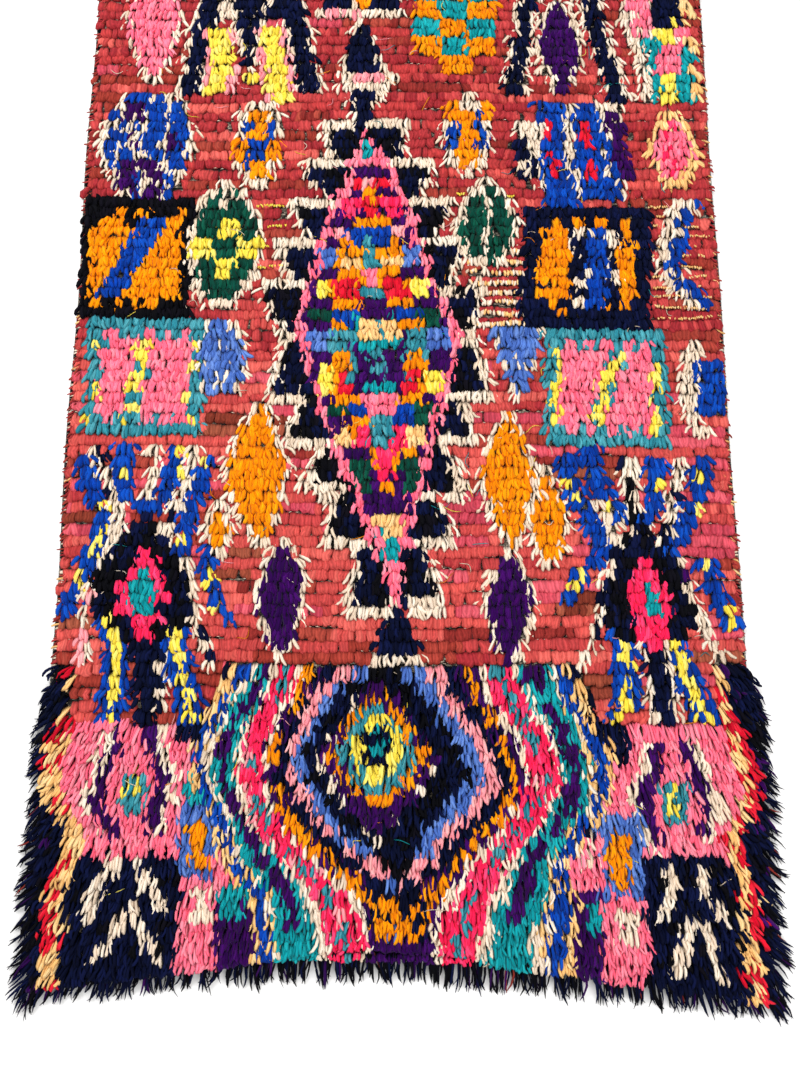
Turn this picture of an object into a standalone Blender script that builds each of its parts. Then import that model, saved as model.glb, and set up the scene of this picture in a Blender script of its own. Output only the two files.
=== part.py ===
"""An azilal rug, knotted from rag strips, lying flat and face up on a floor.

Metres, +Z up, floor at Z = 0. The rug's length runs along Y, with its shag end
at -Y and its plain end at +Y. The ground weave and its pile are one solid: ribs,
one for each row of knots, in the field, and lumps in the shag panel. The locks
that stick out round the panel are fused into narrow strips along its rim.
"""

import math
import random

import bmesh
import bpy

# The whole rug
FIELD_WIDTH = 1.35
PLAIN_END_Y = 1.275
PIECE_GAP = 0.00032

# The ground weave, which shows at the selvedges and at the plain end
WEAVE_THICKNESS = 0.004
SELVEDGE_WIDTH = 0.009
SELVEDGE_TO_PILE = 0.008
HEM_LENGTH = 0.022
EDGE_WANDER = 0.0025
RIGHT_WANDER = 0.6
EDGE_WAVE = 0.62

# The field's ribs, one for each row of knots
ROW_PITCH = 0.0229
ROW_COUNT = 83
ROW_BOW = 0.003
ROW_WAVE = 0.85
ROW_DRIFT = 0.4
CREST_AT = 0.62
CREST_HEIGHT = 0.0145
VALLEY_HEIGHT = 0.0095
HEIGHT_SPREAD = 0.0014
FIELD_SPANS = 8

# The shag panel: its lower edge arches up in the middle and hangs lowest at the right
SHOULDER = 0.002
SHAG_ROWS = 20
SHAG_SPANS = 24
SHAG_LOW = 0.019
SHAG_HIGH = 0.029
SHAG_RIM = 0.014
LUMP_SPREAD = 0.25
END_MIDDLE_Y = -1.164
END_DROP_LEFT = 0.047
END_DROP_RIGHT = 0.063

# The locks round the panel
STRIP_WIDTH = 0.010
STRIP_HEIGHT = 0.011
STRIP_START = 0.0035
LOCK_PITCH = 0.014
LOCK_ROOT_HEIGHT = 0.009
LOCK_MIDDLE_AT = 0.55
LOCK_MIDDLE_SIZE = (0.0084, 0.0072)
LOCK_TIP_SIZE = (0.0030, 0.0022)
LOCK_BEND = 0.004
LOCK_LEAN_SPREAD = math.radians(4)
LENGTH_SPREAD = 0.16

# Where each strip of locks runs, how long its locks are and how far they lean:
# from its first lock to its last on the sides, and from the middle out at the end
LOCK_STRIPS = (
    {"name": "left_locks", "side": -1, "first_length": 0.016, "last_length": 0.032,
     "first_lean": math.radians(8), "last_lean": math.radians(34)},
    {"name": "right_locks", "side": 1, "first_length": 0.018, "last_length": 0.034,
     "first_lean": math.radians(6), "last_lean": math.radians(34)},
    {"name": "end_locks", "side": 0, "first_length": 0.044, "last_length": 0.044,
     "first_lean": math.radians(0), "last_lean": math.radians(26)},
)

PILE_COLOUR = (0.62, 0.17, 0.15)
LOCK_COLOUR = (0.012, 0.015, 0.05)
SEED = 11


def clear_scene():
    """Remove every object of the scene that this script opens in."""
    for old in list(bpy.data.objects):
        bpy.data.objects.remove(old, do_unlink=True)


def cloth_material(name, colour):
    """Return a matt cloth material of one colour."""
    made = bpy.data.materials.new(name)
    made.use_nodes = True
    shader = made.node_tree.nodes["Principled BSDF"]
    shader.inputs["Base Color"].default_value = (*colour, 1.0)
    shader.inputs["Roughness"].default_value = 0.95
    shader.inputs["Metallic"].default_value = 0.0
    return made


def new_object(name, mesh_builder, material):
    """Link a new object whose mesh is the closed body in mesh_builder."""
    bmesh.ops.recalc_face_normals(mesh_builder, faces=mesh_builder.faces)
    mesh = bpy.data.meshes.new(name)
    mesh_builder.to_mesh(mesh)
    mesh_builder.free()
    mesh.materials.append(material)
    made = bpy.data.objects.new(name, mesh)
    bpy.context.scene.collection.objects.link(made)
    return made


def blend(start, end, share):
    """Return the value that lies this share of the way from start to end."""
    return start + (end - start) * share


def panel_half_width():
    """Return how far the slab reaches from the middle within the shag panel."""
    return FIELD_WIDTH / 2 - STRIP_WIDTH - PIECE_GAP


def shag_columns():
    """Return the shag panel's columns, across the rug."""
    half = panel_half_width()
    return [blend(-half, half, i / SHAG_SPANS) for i in range(SHAG_SPANS + 1)]


def smooth_end_y(x):
    """Return the smooth arch of the panel's lower edge."""
    drop = END_DROP_LEFT if x < 0 else END_DROP_RIGHT
    return END_MIDDLE_Y - drop * (x / (FIELD_WIDTH / 2)) ** 2


def end_y(x):
    """Return the panel's lower edge, in straight steps between the shag's columns.

    The slab and the strip of locks below it share these steps, so that the gap
    between them stays even.
    """
    columns = shag_columns()
    step = columns[1] - columns[0]
    i = min(max(int((x - columns[0]) / step), 0), SHAG_SPANS - 1)
    share = (x - columns[i]) / step
    return blend(smooth_end_y(columns[i]), smooth_end_y(columns[i + 1]), share)


def field_columns(y):
    """Return the field's columns at y: two on each selvedge and the rest on the pile."""
    wander = EDGE_WANDER * math.sin(2 * math.pi * y / EDGE_WAVE)
    left = -FIELD_WIDTH / 2 + wander
    right = FIELD_WIDTH / 2 + RIGHT_WANDER * wander
    pile_left = left + SELVEDGE_WIDTH + SELVEDGE_TO_PILE
    pile_right = right - SELVEDGE_WIDTH - SELVEDGE_TO_PILE
    pile = [blend(pile_left, pile_right, i / FIELD_SPANS) for i in range(FIELD_SPANS + 1)]
    return [left, left + SELVEDGE_WIDTH, *pile, right - SELVEDGE_WIDTH, right]


def weave_row(y):
    """Return a row of points on the bare weave."""
    return [(x, y, WEAVE_THICKNESS) for x in field_columns(y)]


def rib_row(y, height, chance):
    """Return a row of points along a rib's valley or crest.

    The row bows a little, as rows of knots do, and its height is uneven.
    """
    points = []
    columns = field_columns(y)
    for i, x in enumerate(columns):
        bow = ROW_BOW * math.sin(2 * math.pi * (x + ROW_DRIFT * y) / ROW_WAVE)
        on_selvedge = i < 2 or i > len(columns) - 3
        uneven = chance.uniform(-HEIGHT_SPREAD, HEIGHT_SPREAD)
        z = WEAVE_THICKNESS if on_selvedge else height + uneven
        points.append((x, y + bow, z))
    return points


def field_rows(chance):
    """Return the field's rows of points, from the plain end to the panel."""
    rows = [weave_row(PLAIN_END_Y), weave_row(PLAIN_END_Y - HEM_LENGTH + ROW_BOW)]
    for i in range(ROW_COUNT):
        top = PLAIN_END_Y - HEM_LENGTH - i * ROW_PITCH
        rows.append(rib_row(top - ROW_BOW, VALLEY_HEIGHT, chance))
        rows.append(rib_row(top - ROW_BOW - CREST_AT * ROW_PITCH, CREST_HEIGHT, chance))
    return rows


def shag_start_y():
    """Return where the shag panel starts, below the field's last rib."""
    return PLAIN_END_Y - HEM_LENGTH - 2 * ROW_BOW - ROW_COUNT * ROW_PITCH


def shag_rows(chance):
    """Return the panel's rows of points, with a lump or a hollow at each."""
    start = shag_start_y()
    columns = shag_columns()
    rows = []
    for k in range(SHAG_ROWS + 1):
        share = k / SHAG_ROWS
        row = []
        for i, x in enumerate(columns):
            last = end_y(x) + STRIP_WIDTH + PIECE_GAP
            lump = (i + k) % 2
            share_of_height = LUMP_SPREAD + (1 - 2 * LUMP_SPREAD) * lump
            share_of_height += chance.uniform(-LUMP_SPREAD, LUMP_SPREAD)
            height = blend(SHAG_LOW, SHAG_HIGH, share_of_height)
            at_rim = i in (0, SHAG_SPANS) or k == SHAG_ROWS
            row.append((x, blend(start - SHOULDER, last, share), SHAG_RIM if at_rim else height))
        rows.append(row)
    return rows


def join_rows(mesh_builder, upper, lower):
    """Fill between two rows of vertices, which may differ in number, with triangles."""
    i = 0
    j = 0
    while i < len(upper) - 1 or j < len(lower) - 1:
        at_end = i == len(upper) - 1
        if at_end or (j < len(lower) - 1 and lower[j + 1].co.x <= upper[i + 1].co.x):
            mesh_builder.faces.new((upper[i], lower[j], lower[j + 1]))
            j += 1
        else:
            mesh_builder.faces.new((upper[i], lower[j], upper[i + 1]))
            i += 1


def build_rug(chance):
    """Build the rug: weave and pile as one flat-bottomed slab."""
    mesh_builder = bmesh.new()
    ribs = field_rows(chance)
    shag = shag_rows(chance)
    top = [[mesh_builder.verts.new(p) for p in row] for row in ribs + shag]
    for upper, lower in zip(top, top[1:]):
        join_rows(mesh_builder, upper, lower)

    def on_floor(vertex):
        return mesh_builder.verts.new((vertex.co.x, vertex.co.y, 0.0))

    left = [on_floor(row[0]) for row in top]
    right = [on_floor(row[-1]) for row in top]
    first = [left[0], *[on_floor(v) for v in top[0][1:-1]], right[0]]
    last = [left[-1], *[on_floor(v) for v in top[-1][1:-1]], right[-1]]
    walls = [([row[0] for row in top], left), ([row[-1] for row in top], right)]
    walls += [(top[0], first), (top[-1], last)]
    for upper_edge, floor_edge in walls:
        for i in range(len(upper_edge) - 1):
            mesh_builder.faces.new(
                (upper_edge[i], upper_edge[i + 1], floor_edge[i + 1], floor_edge[i])
            )
    mesh_builder.faces.new([*first, right[1], left[1]])
    for i in range(1, len(ribs)):
        mesh_builder.faces.new((left[i], right[i], right[i + 1], left[i + 1]))
    panel_left = left[len(ribs):-1]
    panel_right = right[len(ribs):-1]
    mesh_builder.faces.new([*panel_left, *last, *reversed(panel_right)])
    bmesh.ops.triangulate(mesh_builder, faces=mesh_builder.faces, ngon_method="EAR_CLIP")
    return new_object("rug", mesh_builder, cloth_material("rag_pile", PILE_COLOUR))


def side_strip_bays(side):
    """Return the bay edges of a side strip as inner and outer points, from the top."""
    inner_x = side * (FIELD_WIDTH / 2 - STRIP_WIDTH)
    outer_x = side * FIELD_WIDTH / 2
    start = shag_start_y() - SHOULDER - STRIP_START
    stop = end_y(side * panel_half_width()) + STRIP_WIDTH + PIECE_GAP
    count = round((start - stop) / LOCK_PITCH)
    edges = [blend(start, stop, i / count) for i in range(count + 1)]
    return [((inner_x, y), (outer_x, y)) for y in edges]


def end_strip_bays():
    """Return the bay edges of the end's strip as inner and outer points, from the left."""
    half = FIELD_WIDTH / 2
    count = round(FIELD_WIDTH / LOCK_PITCH)
    edges = [blend(-half, half, i / count) for i in range(count + 1)]
    return [((x, end_y(x) + STRIP_WIDTH), (x, end_y(x))) for x in edges]


def lock_course(strip, share, chance):
    """Return a lock's heading, length and sideways bend.

    The share runs from 0 at a side strip's first lock to 1 at its last, and from
    -1 to 1 across the end, where the locks fan out from the middle.
    """
    outward = {-1: math.pi, 0: -math.pi / 2, 1: 0.0}[strip["side"]]
    turn = -1 if strip["side"] > 0 or share < 0 else 1
    lean = blend(strip["first_lean"], strip["last_lean"], abs(share))
    lean += chance.uniform(-LOCK_LEAN_SPREAD, LOCK_LEAN_SPREAD)
    length = blend(strip["first_length"], strip["last_length"], abs(share))
    length *= 1 + chance.uniform(-LENGTH_SPREAD, LENGTH_SPREAD)
    bend = LOCK_BEND * chance.uniform(-1, 1)
    return outward + turn * lean, length, bend


def lock_section(mesh_builder, centre, heading, width, height):
    """Add a lock's three-sided section, flat on the floor, and return its vertices."""
    half_x = -math.sin(heading) * width / 2
    half_y = math.cos(heading) * width / 2
    right = mesh_builder.verts.new((centre[0] - half_x, centre[1] - half_y, 0.0))
    ridge = mesh_builder.verts.new((centre[0], centre[1], height))
    left = mesh_builder.verts.new((centre[0] + half_x, centre[1] + half_y, 0.0))
    return [right, ridge, left]


def add_lock(mesh_builder, root_section, heading, length, bend):
    """Grow a lock out of its root's section: narrower at its middle, with a blunt tip."""
    along = (math.cos(heading), math.sin(heading))
    start, stop = root_section[0].co, root_section[2].co
    root = ((start.x + stop.x) / 2, (start.y + stop.y) / 2)
    reach = LOCK_MIDDLE_AT * length
    middle = (
        root[0] + along[0] * reach - along[1] * bend / 2,
        root[1] + along[1] * reach + along[0] * bend / 2,
    )
    tip = (root[0] + along[0] * length, root[1] + along[1] * length)
    sections = [
        root_section,
        lock_section(mesh_builder, middle, heading, *LOCK_MIDDLE_SIZE),
        lock_section(mesh_builder, tip, heading, *LOCK_TIP_SIZE),
    ]
    for before, after in zip(sections, sections[1:]):
        for a in range(3):
            b = (a + 1) % 3
            mesh_builder.faces.new((before[a], before[b], after[b], after[a]))
    mesh_builder.faces.new(sections[-1])


def build_lock_strip(strip, chance):
    """Build a narrow strip with a row of locks fused to its outer wall.

    Each bay of the strip carries one lock, three-sided and flat on the floor, which
    leaves the outer wall in a triangle as wide as the bay.
    """
    bays = side_strip_bays(strip["side"]) if strip["side"] else end_strip_bays()
    bay_count = len(bays) - 1
    mesh_builder = bmesh.new()
    floors = [[mesh_builder.verts.new((*p, 0.0)) for p in bay] for bay in bays]
    tops = [[mesh_builder.verts.new((*p, STRIP_HEIGHT)) for p in bay] for bay in bays]
    for i in (0, bay_count):
        mesh_builder.faces.new((floors[i][0], floors[i][1], tops[i][1], tops[i][0]))
    for i in range(bay_count):
        inner, outer = floors[i]
        next_inner, next_outer = floors[i + 1]
        top_inner, top_outer = tops[i]
        next_top_inner, next_top_outer = tops[i + 1]
        mesh_builder.faces.new((inner, next_inner, next_top_inner, top_inner))
        mesh_builder.faces.new((top_inner, next_top_inner, next_top_outer, top_outer))
        mesh_builder.faces.new((inner, outer, next_outer, next_inner))

        root = (outer.co + next_outer.co) / 2
        ridge = mesh_builder.verts.new((root.x, root.y, LOCK_ROOT_HEIGHT))
        mesh_builder.faces.new((top_outer, ridge, next_top_outer))
        mesh_builder.faces.new((outer, ridge, top_outer))
        mesh_builder.faces.new((next_outer, next_top_outer, ridge))

        share = (i + 0.5) / bay_count
        if strip["side"] == 0:
            share = 2 * share - 1
        root_section = [outer, ridge, next_outer]
        if strip["side"] > 0:
            root_section.reverse()
        add_lock(mesh_builder, root_section, *lock_course(strip, share, chance))
    bmesh.ops.triangulate(mesh_builder, faces=mesh_builder.faces)
    return new_object(strip["name"], mesh_builder, cloth_material(strip["name"], LOCK_COLOUR))


def centre_on_origin(pieces):
    """Shift the pieces so that the middle of their common outline is at X = Y = 0."""
    points = [v.co for piece in pieces for v in piece.data.vertices]
    shift_x = -(min(p.x for p in points) + max(p.x for p in points)) / 2
    shift_y = -(min(p.y for p in points) + max(p.y for p in points)) / 2
    for piece in pieces:
        piece.location = (shift_x, shift_y, 0.0)


def main():
    """Build the rug and its strips of locks."""
    chance = random.Random(SEED)
    clear_scene()
    pieces = [build_rug(chance)]
    for strip in LOCK_STRIPS:
        pieces.append(build_lock_strip(strip, chance))
    centre_on_origin(pieces)


main()
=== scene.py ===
"""Looks of an azilal rug: knotted jersey rags, deep shag, loose locks and their ground weave.

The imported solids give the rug's size and place. This file covers them with the rags themselves:
every knot of the field is a row-by-row tuft, the panel at the near end is laid with long strands,
and each figure is charted in millimetres on the rug, as a knotter counts it off in rows and knots.
"""
import logging
import math
from dataclasses import dataclass
from enum import Enum, IntEnum
from typing import Any, Sequence

import bpy
import numpy as np
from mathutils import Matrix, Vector


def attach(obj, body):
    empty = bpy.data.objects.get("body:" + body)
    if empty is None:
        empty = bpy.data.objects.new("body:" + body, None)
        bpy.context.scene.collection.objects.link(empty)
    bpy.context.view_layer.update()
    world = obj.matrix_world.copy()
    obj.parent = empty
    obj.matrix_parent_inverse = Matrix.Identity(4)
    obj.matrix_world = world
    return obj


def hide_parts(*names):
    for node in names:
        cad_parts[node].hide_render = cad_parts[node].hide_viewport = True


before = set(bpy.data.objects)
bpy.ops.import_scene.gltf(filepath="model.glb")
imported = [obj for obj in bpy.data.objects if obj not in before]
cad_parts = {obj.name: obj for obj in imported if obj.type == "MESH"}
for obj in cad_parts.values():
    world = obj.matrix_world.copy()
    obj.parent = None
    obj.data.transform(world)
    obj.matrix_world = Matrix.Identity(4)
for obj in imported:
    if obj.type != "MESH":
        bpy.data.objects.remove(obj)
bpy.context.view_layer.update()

LOG = logging.getLogger("azilal_rug")
SEED = 20
UV_NAME = "OFBake"
# Shades of one dye lie side by side in this many bands of a rag's map.
BANDS = 8
MM = 0.001
TURN = 2 * math.pi
QUARTER = math.pi / 2

# The plan of the solids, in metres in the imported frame.
PLAN_SHIFT_X = -0.0004
PLAN_SHIFT_Y = -0.0054
HALF_WIDTH = 0.675
EDGE_WANDER = 0.0025
EDGE_WAVE = 0.62
RIGHT_WANDER = 0.6
# The soft edge of the real pile stands this far inside the solid's.
LEFT_TUCK = 0.003
RIGHT_TUCK = 0.008
PLAIN_END_Y = 1.2696
ROW_PITCH = 0.0229
# Rows that run from edge to edge; those after it stand only beside the panel's eye.
LAST_ROW = 82
# How high the knots' roots lie: the top of the ground weave.
KNOT_HEIGHT = 0.0034
FIRST_ROW_Y = 1.2446
ROW_BOW = 0.003
ROW_WAVE = 0.85
ROW_DRIFT = 0.4
PANEL_HALF_WIDTH = 0.664
PANEL_TOP_Y = -0.659
END_MIDDLE_Y = -1.169
END_DROP_LEFT = 0.047
END_DROP_RIGHT = 0.063

Array = np.ndarray
Size = np.ndarray | float
Random = np.random.Generator
Tree = bpy.types.NodeTree
Socket = bpy.types.NodeSocket
Colour = tuple[float, float, float, float]
Point = tuple[float, float]
Numbers = tuple[float, ...]
Piece = bpy.types.Object


# The rag bag: every colour of jersey that is knotted into the rug.
Dye = IntEnum("Dye", """CRIMSON CORAL ROSE RUST BROWN IVORY PEACH YELLOW GOLD HOT_PINK PINK PALE_PINK
              RED TEAL DUSTY_TEAL BLUE PERIWINKLE PURPLE GREEN NAVY BLACK""", start=0)
(CRIMSON, CORAL, ROSE, RUST, BROWN, IVORY, PEACH, YELLOW, GOLD, HOT_PINK, PINK, PALE_PINK, RED,
 TEAL, DUSTY_TEAL, BLUE, PERIWINKLE, PURPLE, GREEN, NAVY, BLACK) = Dye
LAST_FIELD_DYE = BROWN


def linear(colour: str) -> Colour:
    """Turns an sRGB hex colour into linear light.

    Args:
        colour: six hex digits after a hash.

    Returns:
        Red, green, blue and alpha for a shader socket.
    """
    parts = [int(colour[i:i + 2], 16) / 255 for i in (1, 3, 5)]
    red, green, blue = (c / 12.92 if c <= 0.04045 else ((c + 0.055) / 1.055) ** 2.4 for c in parts)
    return (red, green, blue, 1.0)


def add_node(tree: Tree, kind: str, sockets: dict[Any, Any] | None = None,
             **settings: Any) -> bpy.types.Node:
    """Adds a node with its settings and its links.

    Args:
        tree: the material's node tree.
        kind: the node's Blender type, without its common prefix.
        sockets: value or output to link for each input, by name or number.
        settings: attributes of the node itself.

    Returns:
        The new node.
    """
    node = tree.nodes.new("ShaderNode" + kind)
    for name, value in settings.items():
        setattr(node, name, value)
    for name, value in (sockets or {}).items():
        if isinstance(value, bpy.types.NodeSocket):
            tree.links.new(value, node.inputs[name])
        else:
            node.inputs[name].default_value = value
    return node


def new_material(name: str) -> tuple[bpy.types.Material, Tree]:
    """Makes an empty node material.

    Args:
        name: what the material is called.

    Returns:
        The material and its cleared node tree.
    """
    material = bpy.data.materials.new(name)
    material.use_nodes = True
    material.node_tree.nodes.clear()
    return material, material.node_tree


def spread(tree: Tree, value: Socket, low: float, high: float, new_low: float,
           new_high: float) -> Socket:
    """Maps one range of a value onto another."""
    return add_node(tree, "MapRange",
                    {0: value, 1: low, 2: high, 3: new_low, 4: new_high}).outputs[0]


def maths(tree: Tree, operation: str, first: Socket | float, second: Socket | float) -> Socket:
    """Works out one sum."""
    return add_node(tree, "Math", {0: first, 1: second}, operation=operation).outputs[0]


def scaled(tree: Tree, vector: Socket, factor: Socket | float) -> Socket:
    """Multiplies a colour or a place by one factor."""
    return add_node(tree, "VectorMath", {0: vector, "Scale": factor},
                    operation="SCALE").outputs[0]


def finish(tree: Tree, sockets: dict[Any, Any]) -> None:
    """Ends a material in one principled shader."""
    shader = add_node(tree, "BsdfPrincipled", sockets)
    add_node(tree, "OutputMaterial", {"Surface": shader.outputs[0]})


@dataclass(frozen=True)
class CutJersey:
    """Cotton jersey cut into strips and knotted: matt and soft, with its edges curled to a cord.

    The strips of one dye come from several old garments, so each has its own shade. The shades
    lie side by side across the rag's map, one band each, and the strip's own wales run along it.
    """

    shades: tuple[str, ...]
    sheen: float
    bands: int = BANDS
    wales_across: float = 4.0
    wale_depth: float = 0.0005
    # How dark the painted shade at a strip's root is.
    root_shade: float = 0.68

    def material(self, name: str) -> bpy.types.Material:
        """Builds the rag's material.

        Args:
            name: the dye's name.

        Returns:
            A node material that reads the rag's own map.
        """
        material, tree = new_material("cut_jersey_" + name)
        rag_map = add_node(tree, "UVMap", uv_map=UV_NAME).outputs[0]
        across, along = add_node(tree, "SeparateXYZ", {0: rag_map}).outputs[:2]
        shade = add_node(tree, "ValToRGB", {0: across})
        stops = shade.color_ramp.elements
        shade.color_ramp.interpolation = "CONSTANT"
        for band in range(self.bands):
            stop = stops[0] if band == 0 else stops.new(band / self.bands)
            stop.color = self.band_colour(band)
        while len(stops) > self.bands:
            stops.remove(stops[-1])
        place = add_node(tree, "CombineXYZ", {
            0: maths(tree, "MULTIPLY", across, float(self.bands)), 1: along}).outputs[0]
        blotch = add_node(tree, "TexNoise",
                          {"Vector": place, "Scale": 3.0, "Detail": 3.0}).outputs[0]
        # Knitted wales are 1 mm apart and the strip is 5 to 10 mm wide, so four or so show on it.
        wales = add_node(tree, "TexWave",
                         {"Vector": place, "Scale": self.wales_across / 2, "Distortion": 2.5,
                          "Detail": 2.0, "Detail Scale": 1.5},
                         wave_type="BANDS", bands_direction="X").outputs[1]
        # Painted shade: the first third of each strip, from its root, is darkened where the
        # neighbouring tufts would shade it.
        rise = spread(tree, along, 0.0, 0.3, self.root_shade, 1.0)
        tone = spread(tree, blotch, 0.25, 0.75, 0.8, 1.16)
        # Painted shade: the wale grooves are darkened in the colour as well as sunk by the bump.
        painted_wale_shade = spread(tree, wales, 0.0, 1.0, 0.76, 1.08)
        # The rag's random mottle, times the painted shade at the root and in the wale grooves.
        mottle_and_painted_shade = maths(tree, "MULTIPLY", maths(tree, "MULTIPLY", tone, painted_wale_shade), rise)
        bump = add_node(tree, "Bump", {"Height": maths(tree, "ADD", wales, blotch),
                                                 "Strength": 0.7, "Distance": self.wale_depth})
        finish(tree, {"Base Color": scaled(tree, shade.outputs[0], mottle_and_painted_shade),
                      "Roughness": spread(tree, blotch, 0.3, 0.7, 0.84, 0.98),
                      "Normal": bump.outputs[0], "Sheen Weight": self.sheen,
                      "Sheen Roughness": 0.45, "Specular IOR Level": 0.08, "IOR": 1.5})
        return material

    def band_colour(self, band: int) -> Colour:
        """Gives one band's colour: each shade comes twice, the second time a little faded.

        Args:
            band: the band's number.

        Returns:
            The colour in linear light.
        """
        red, green, blue, alpha = linear(self.shades[band // 2 % len(self.shades)])
        fade = 1.0 if band % 2 == 0 else 1.12
        return (min(red * fade, 1), min(green * fade, 1), min(blue * fade, 1), alpha)


@dataclass(frozen=True)
class WoolGround:
    """Hand-spun wool, black and off-white plied together, beaten down as plain weave.

    Its specks of black and white glint in the gaps between the rows, and its weft ribs show bare
    only in the hem at the far end.
    """

    dark: str = "#17130F"
    pale: str = "#CFC2AB"
    gap: str = "#0B0908"
    # Picks are 2 mm apart and pass over warps 3 mm apart; both are drawn twice as coarse to show.
    pick: float = 0.004
    warp: float = 0.007
    map_size: float = 2.6

    def material(self) -> bpy.types.Material:
        """Builds the ground weave's material on a map of the rug's plan.

        Returns:
            A node material.
        """
        material, tree = new_material("plied_wool_ground")
        plan = add_node(tree, "UVMap", uv_map=UV_NAME).outputs[0]
        metres = scaled(tree, plan, self.map_size)
        weave = add_node(tree, "TexBrick",
                         {"Vector": metres, "Color1": linear(self.dark),
                          "Color2": linear(self.pale), "Mortar": linear(self.gap),
                          "Scale": 1.0, "Mortar Size": 0.0005, "Mortar Smooth": 0.6,
                          "Bias": -0.35, "Brick Width": self.warp, "Row Height": self.pick})
        fuzz = add_node(tree, "TexNoise",
                        {"Vector": metres, "Scale": 900.0, "Detail": 3.0}).outputs[0]
        tone = spread(tree, fuzz, 0.2, 0.8, 0.7, 1.15)
        bump = add_node(tree, "Bump",
                        {"Height": maths(tree, "SUBTRACT", 1.0, weave.outputs[1]),
                         "Strength": 0.8, "Distance": 0.001})
        finish(tree, {"Base Color": scaled(tree, weave.outputs[0], tone),
                      "Roughness": spread(tree, fuzz, 0.3, 0.7, 0.85, 0.98),
                      "Normal": bump.outputs[0], "Sheen Weight": 0.2, "Specular IOR Level": 0.2})
        return material


@dataclass(frozen=True)
class PaintedFloor:
    """Matt white painted board, as under a studio's product light: no gloss, hardly any grain."""

    colour: str = "#F6F5F4"
    shade: str = "#EFEEED"

    def material(self) -> bpy.types.Material:
        """Builds the floor's plain pale material.

        Returns:
            A node material.
        """
        material, tree = new_material("matt_white_paint")
        noise = add_node(tree, "TexNoise", {"Scale": 3.0, "Detail": 2.0})
        mix = add_node(tree, "Mix",
                       {0: noise.outputs[0], 6: linear(self.shade), 7: linear(self.colour)},
                       data_type="RGBA")
        finish(tree, {"Base Color": mix.outputs[2], "Roughness": 0.95, "Specular IOR Level": 0.1})
        return material


SHADES: dict[Dye, tuple[str, ...]] = {
    CRIMSON: ("#9A2A30", "#AC3636", "#A23034", "#B43E3E"),
    CORAL: ("#B84240", "#C64E48", "#BE4844", "#CE5A52"),
    ROSE: ("#BA4050", "#C84C5A", "#C04654", "#D05662"),
    RUST: ("#862A26", "#98382E", "#903228", "#A04034"),
    BROWN: ("#7A3224", "#8A402E", "#82382A", "#964C38"),
    IVORY: ("#E2CBB2", "#EEDAC4", "#E8D2BA", "#F2E2CE"),
    PEACH: ("#EAB46E", "#F2C482", "#EEBC78", "#F2CC90"),
    YELLOW: ("#ECD040", "#F4DC52", "#F0D64A", "#F6E26C"),
    GOLD: ("#E88000", "#F28E02", "#EC8800", "#F49806"),
    HOT_PINK: ("#F21E50", "#FC2E60", "#F82658", "#FE4474"),
    PINK: ("#FC6480", "#FF7890", "#FE6E88", "#FF8A9C"),
    PALE_PINK: ("#F08A94", "#F89EA4", "#F4949C", "#FAACAC"),
    RED: ("#C80A26", "#DC162E", "#D2102A", "#E62238"),
    TEAL: ("#04828A", "#0C969E", "#088C94", "#18A2A8"),
    DUSTY_TEAL: ("#287C8C", "#388C9A", "#308492", "#4A9AA6"),
    BLUE: ("#023088", "#043CA2", "#023894", "#0A4AB2"),
    PERIWINKLE: ("#3E60AC", "#5074BE", "#486AB6", "#6284CA"),
    PURPLE: ("#280044", "#34024E", "#2E004A", "#3E065E"),
    GREEN: ("#003428", "#044236", "#023C30", "#08503E"),
    NAVY: ("#030720", "#060D2C", "#040A26", "#0A1238"),
    BLACK: ("#030308", "#06060C", "#05050A", "#0A0812"),
}
# The darkest rags lie in shadow, where no sheen shows.
RAG_BAG = {dye: CutJersey(shades, 0.0 if dye in (NAVY, BLACK) else 0.03)
           for dye, shades in SHADES.items()}


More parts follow.
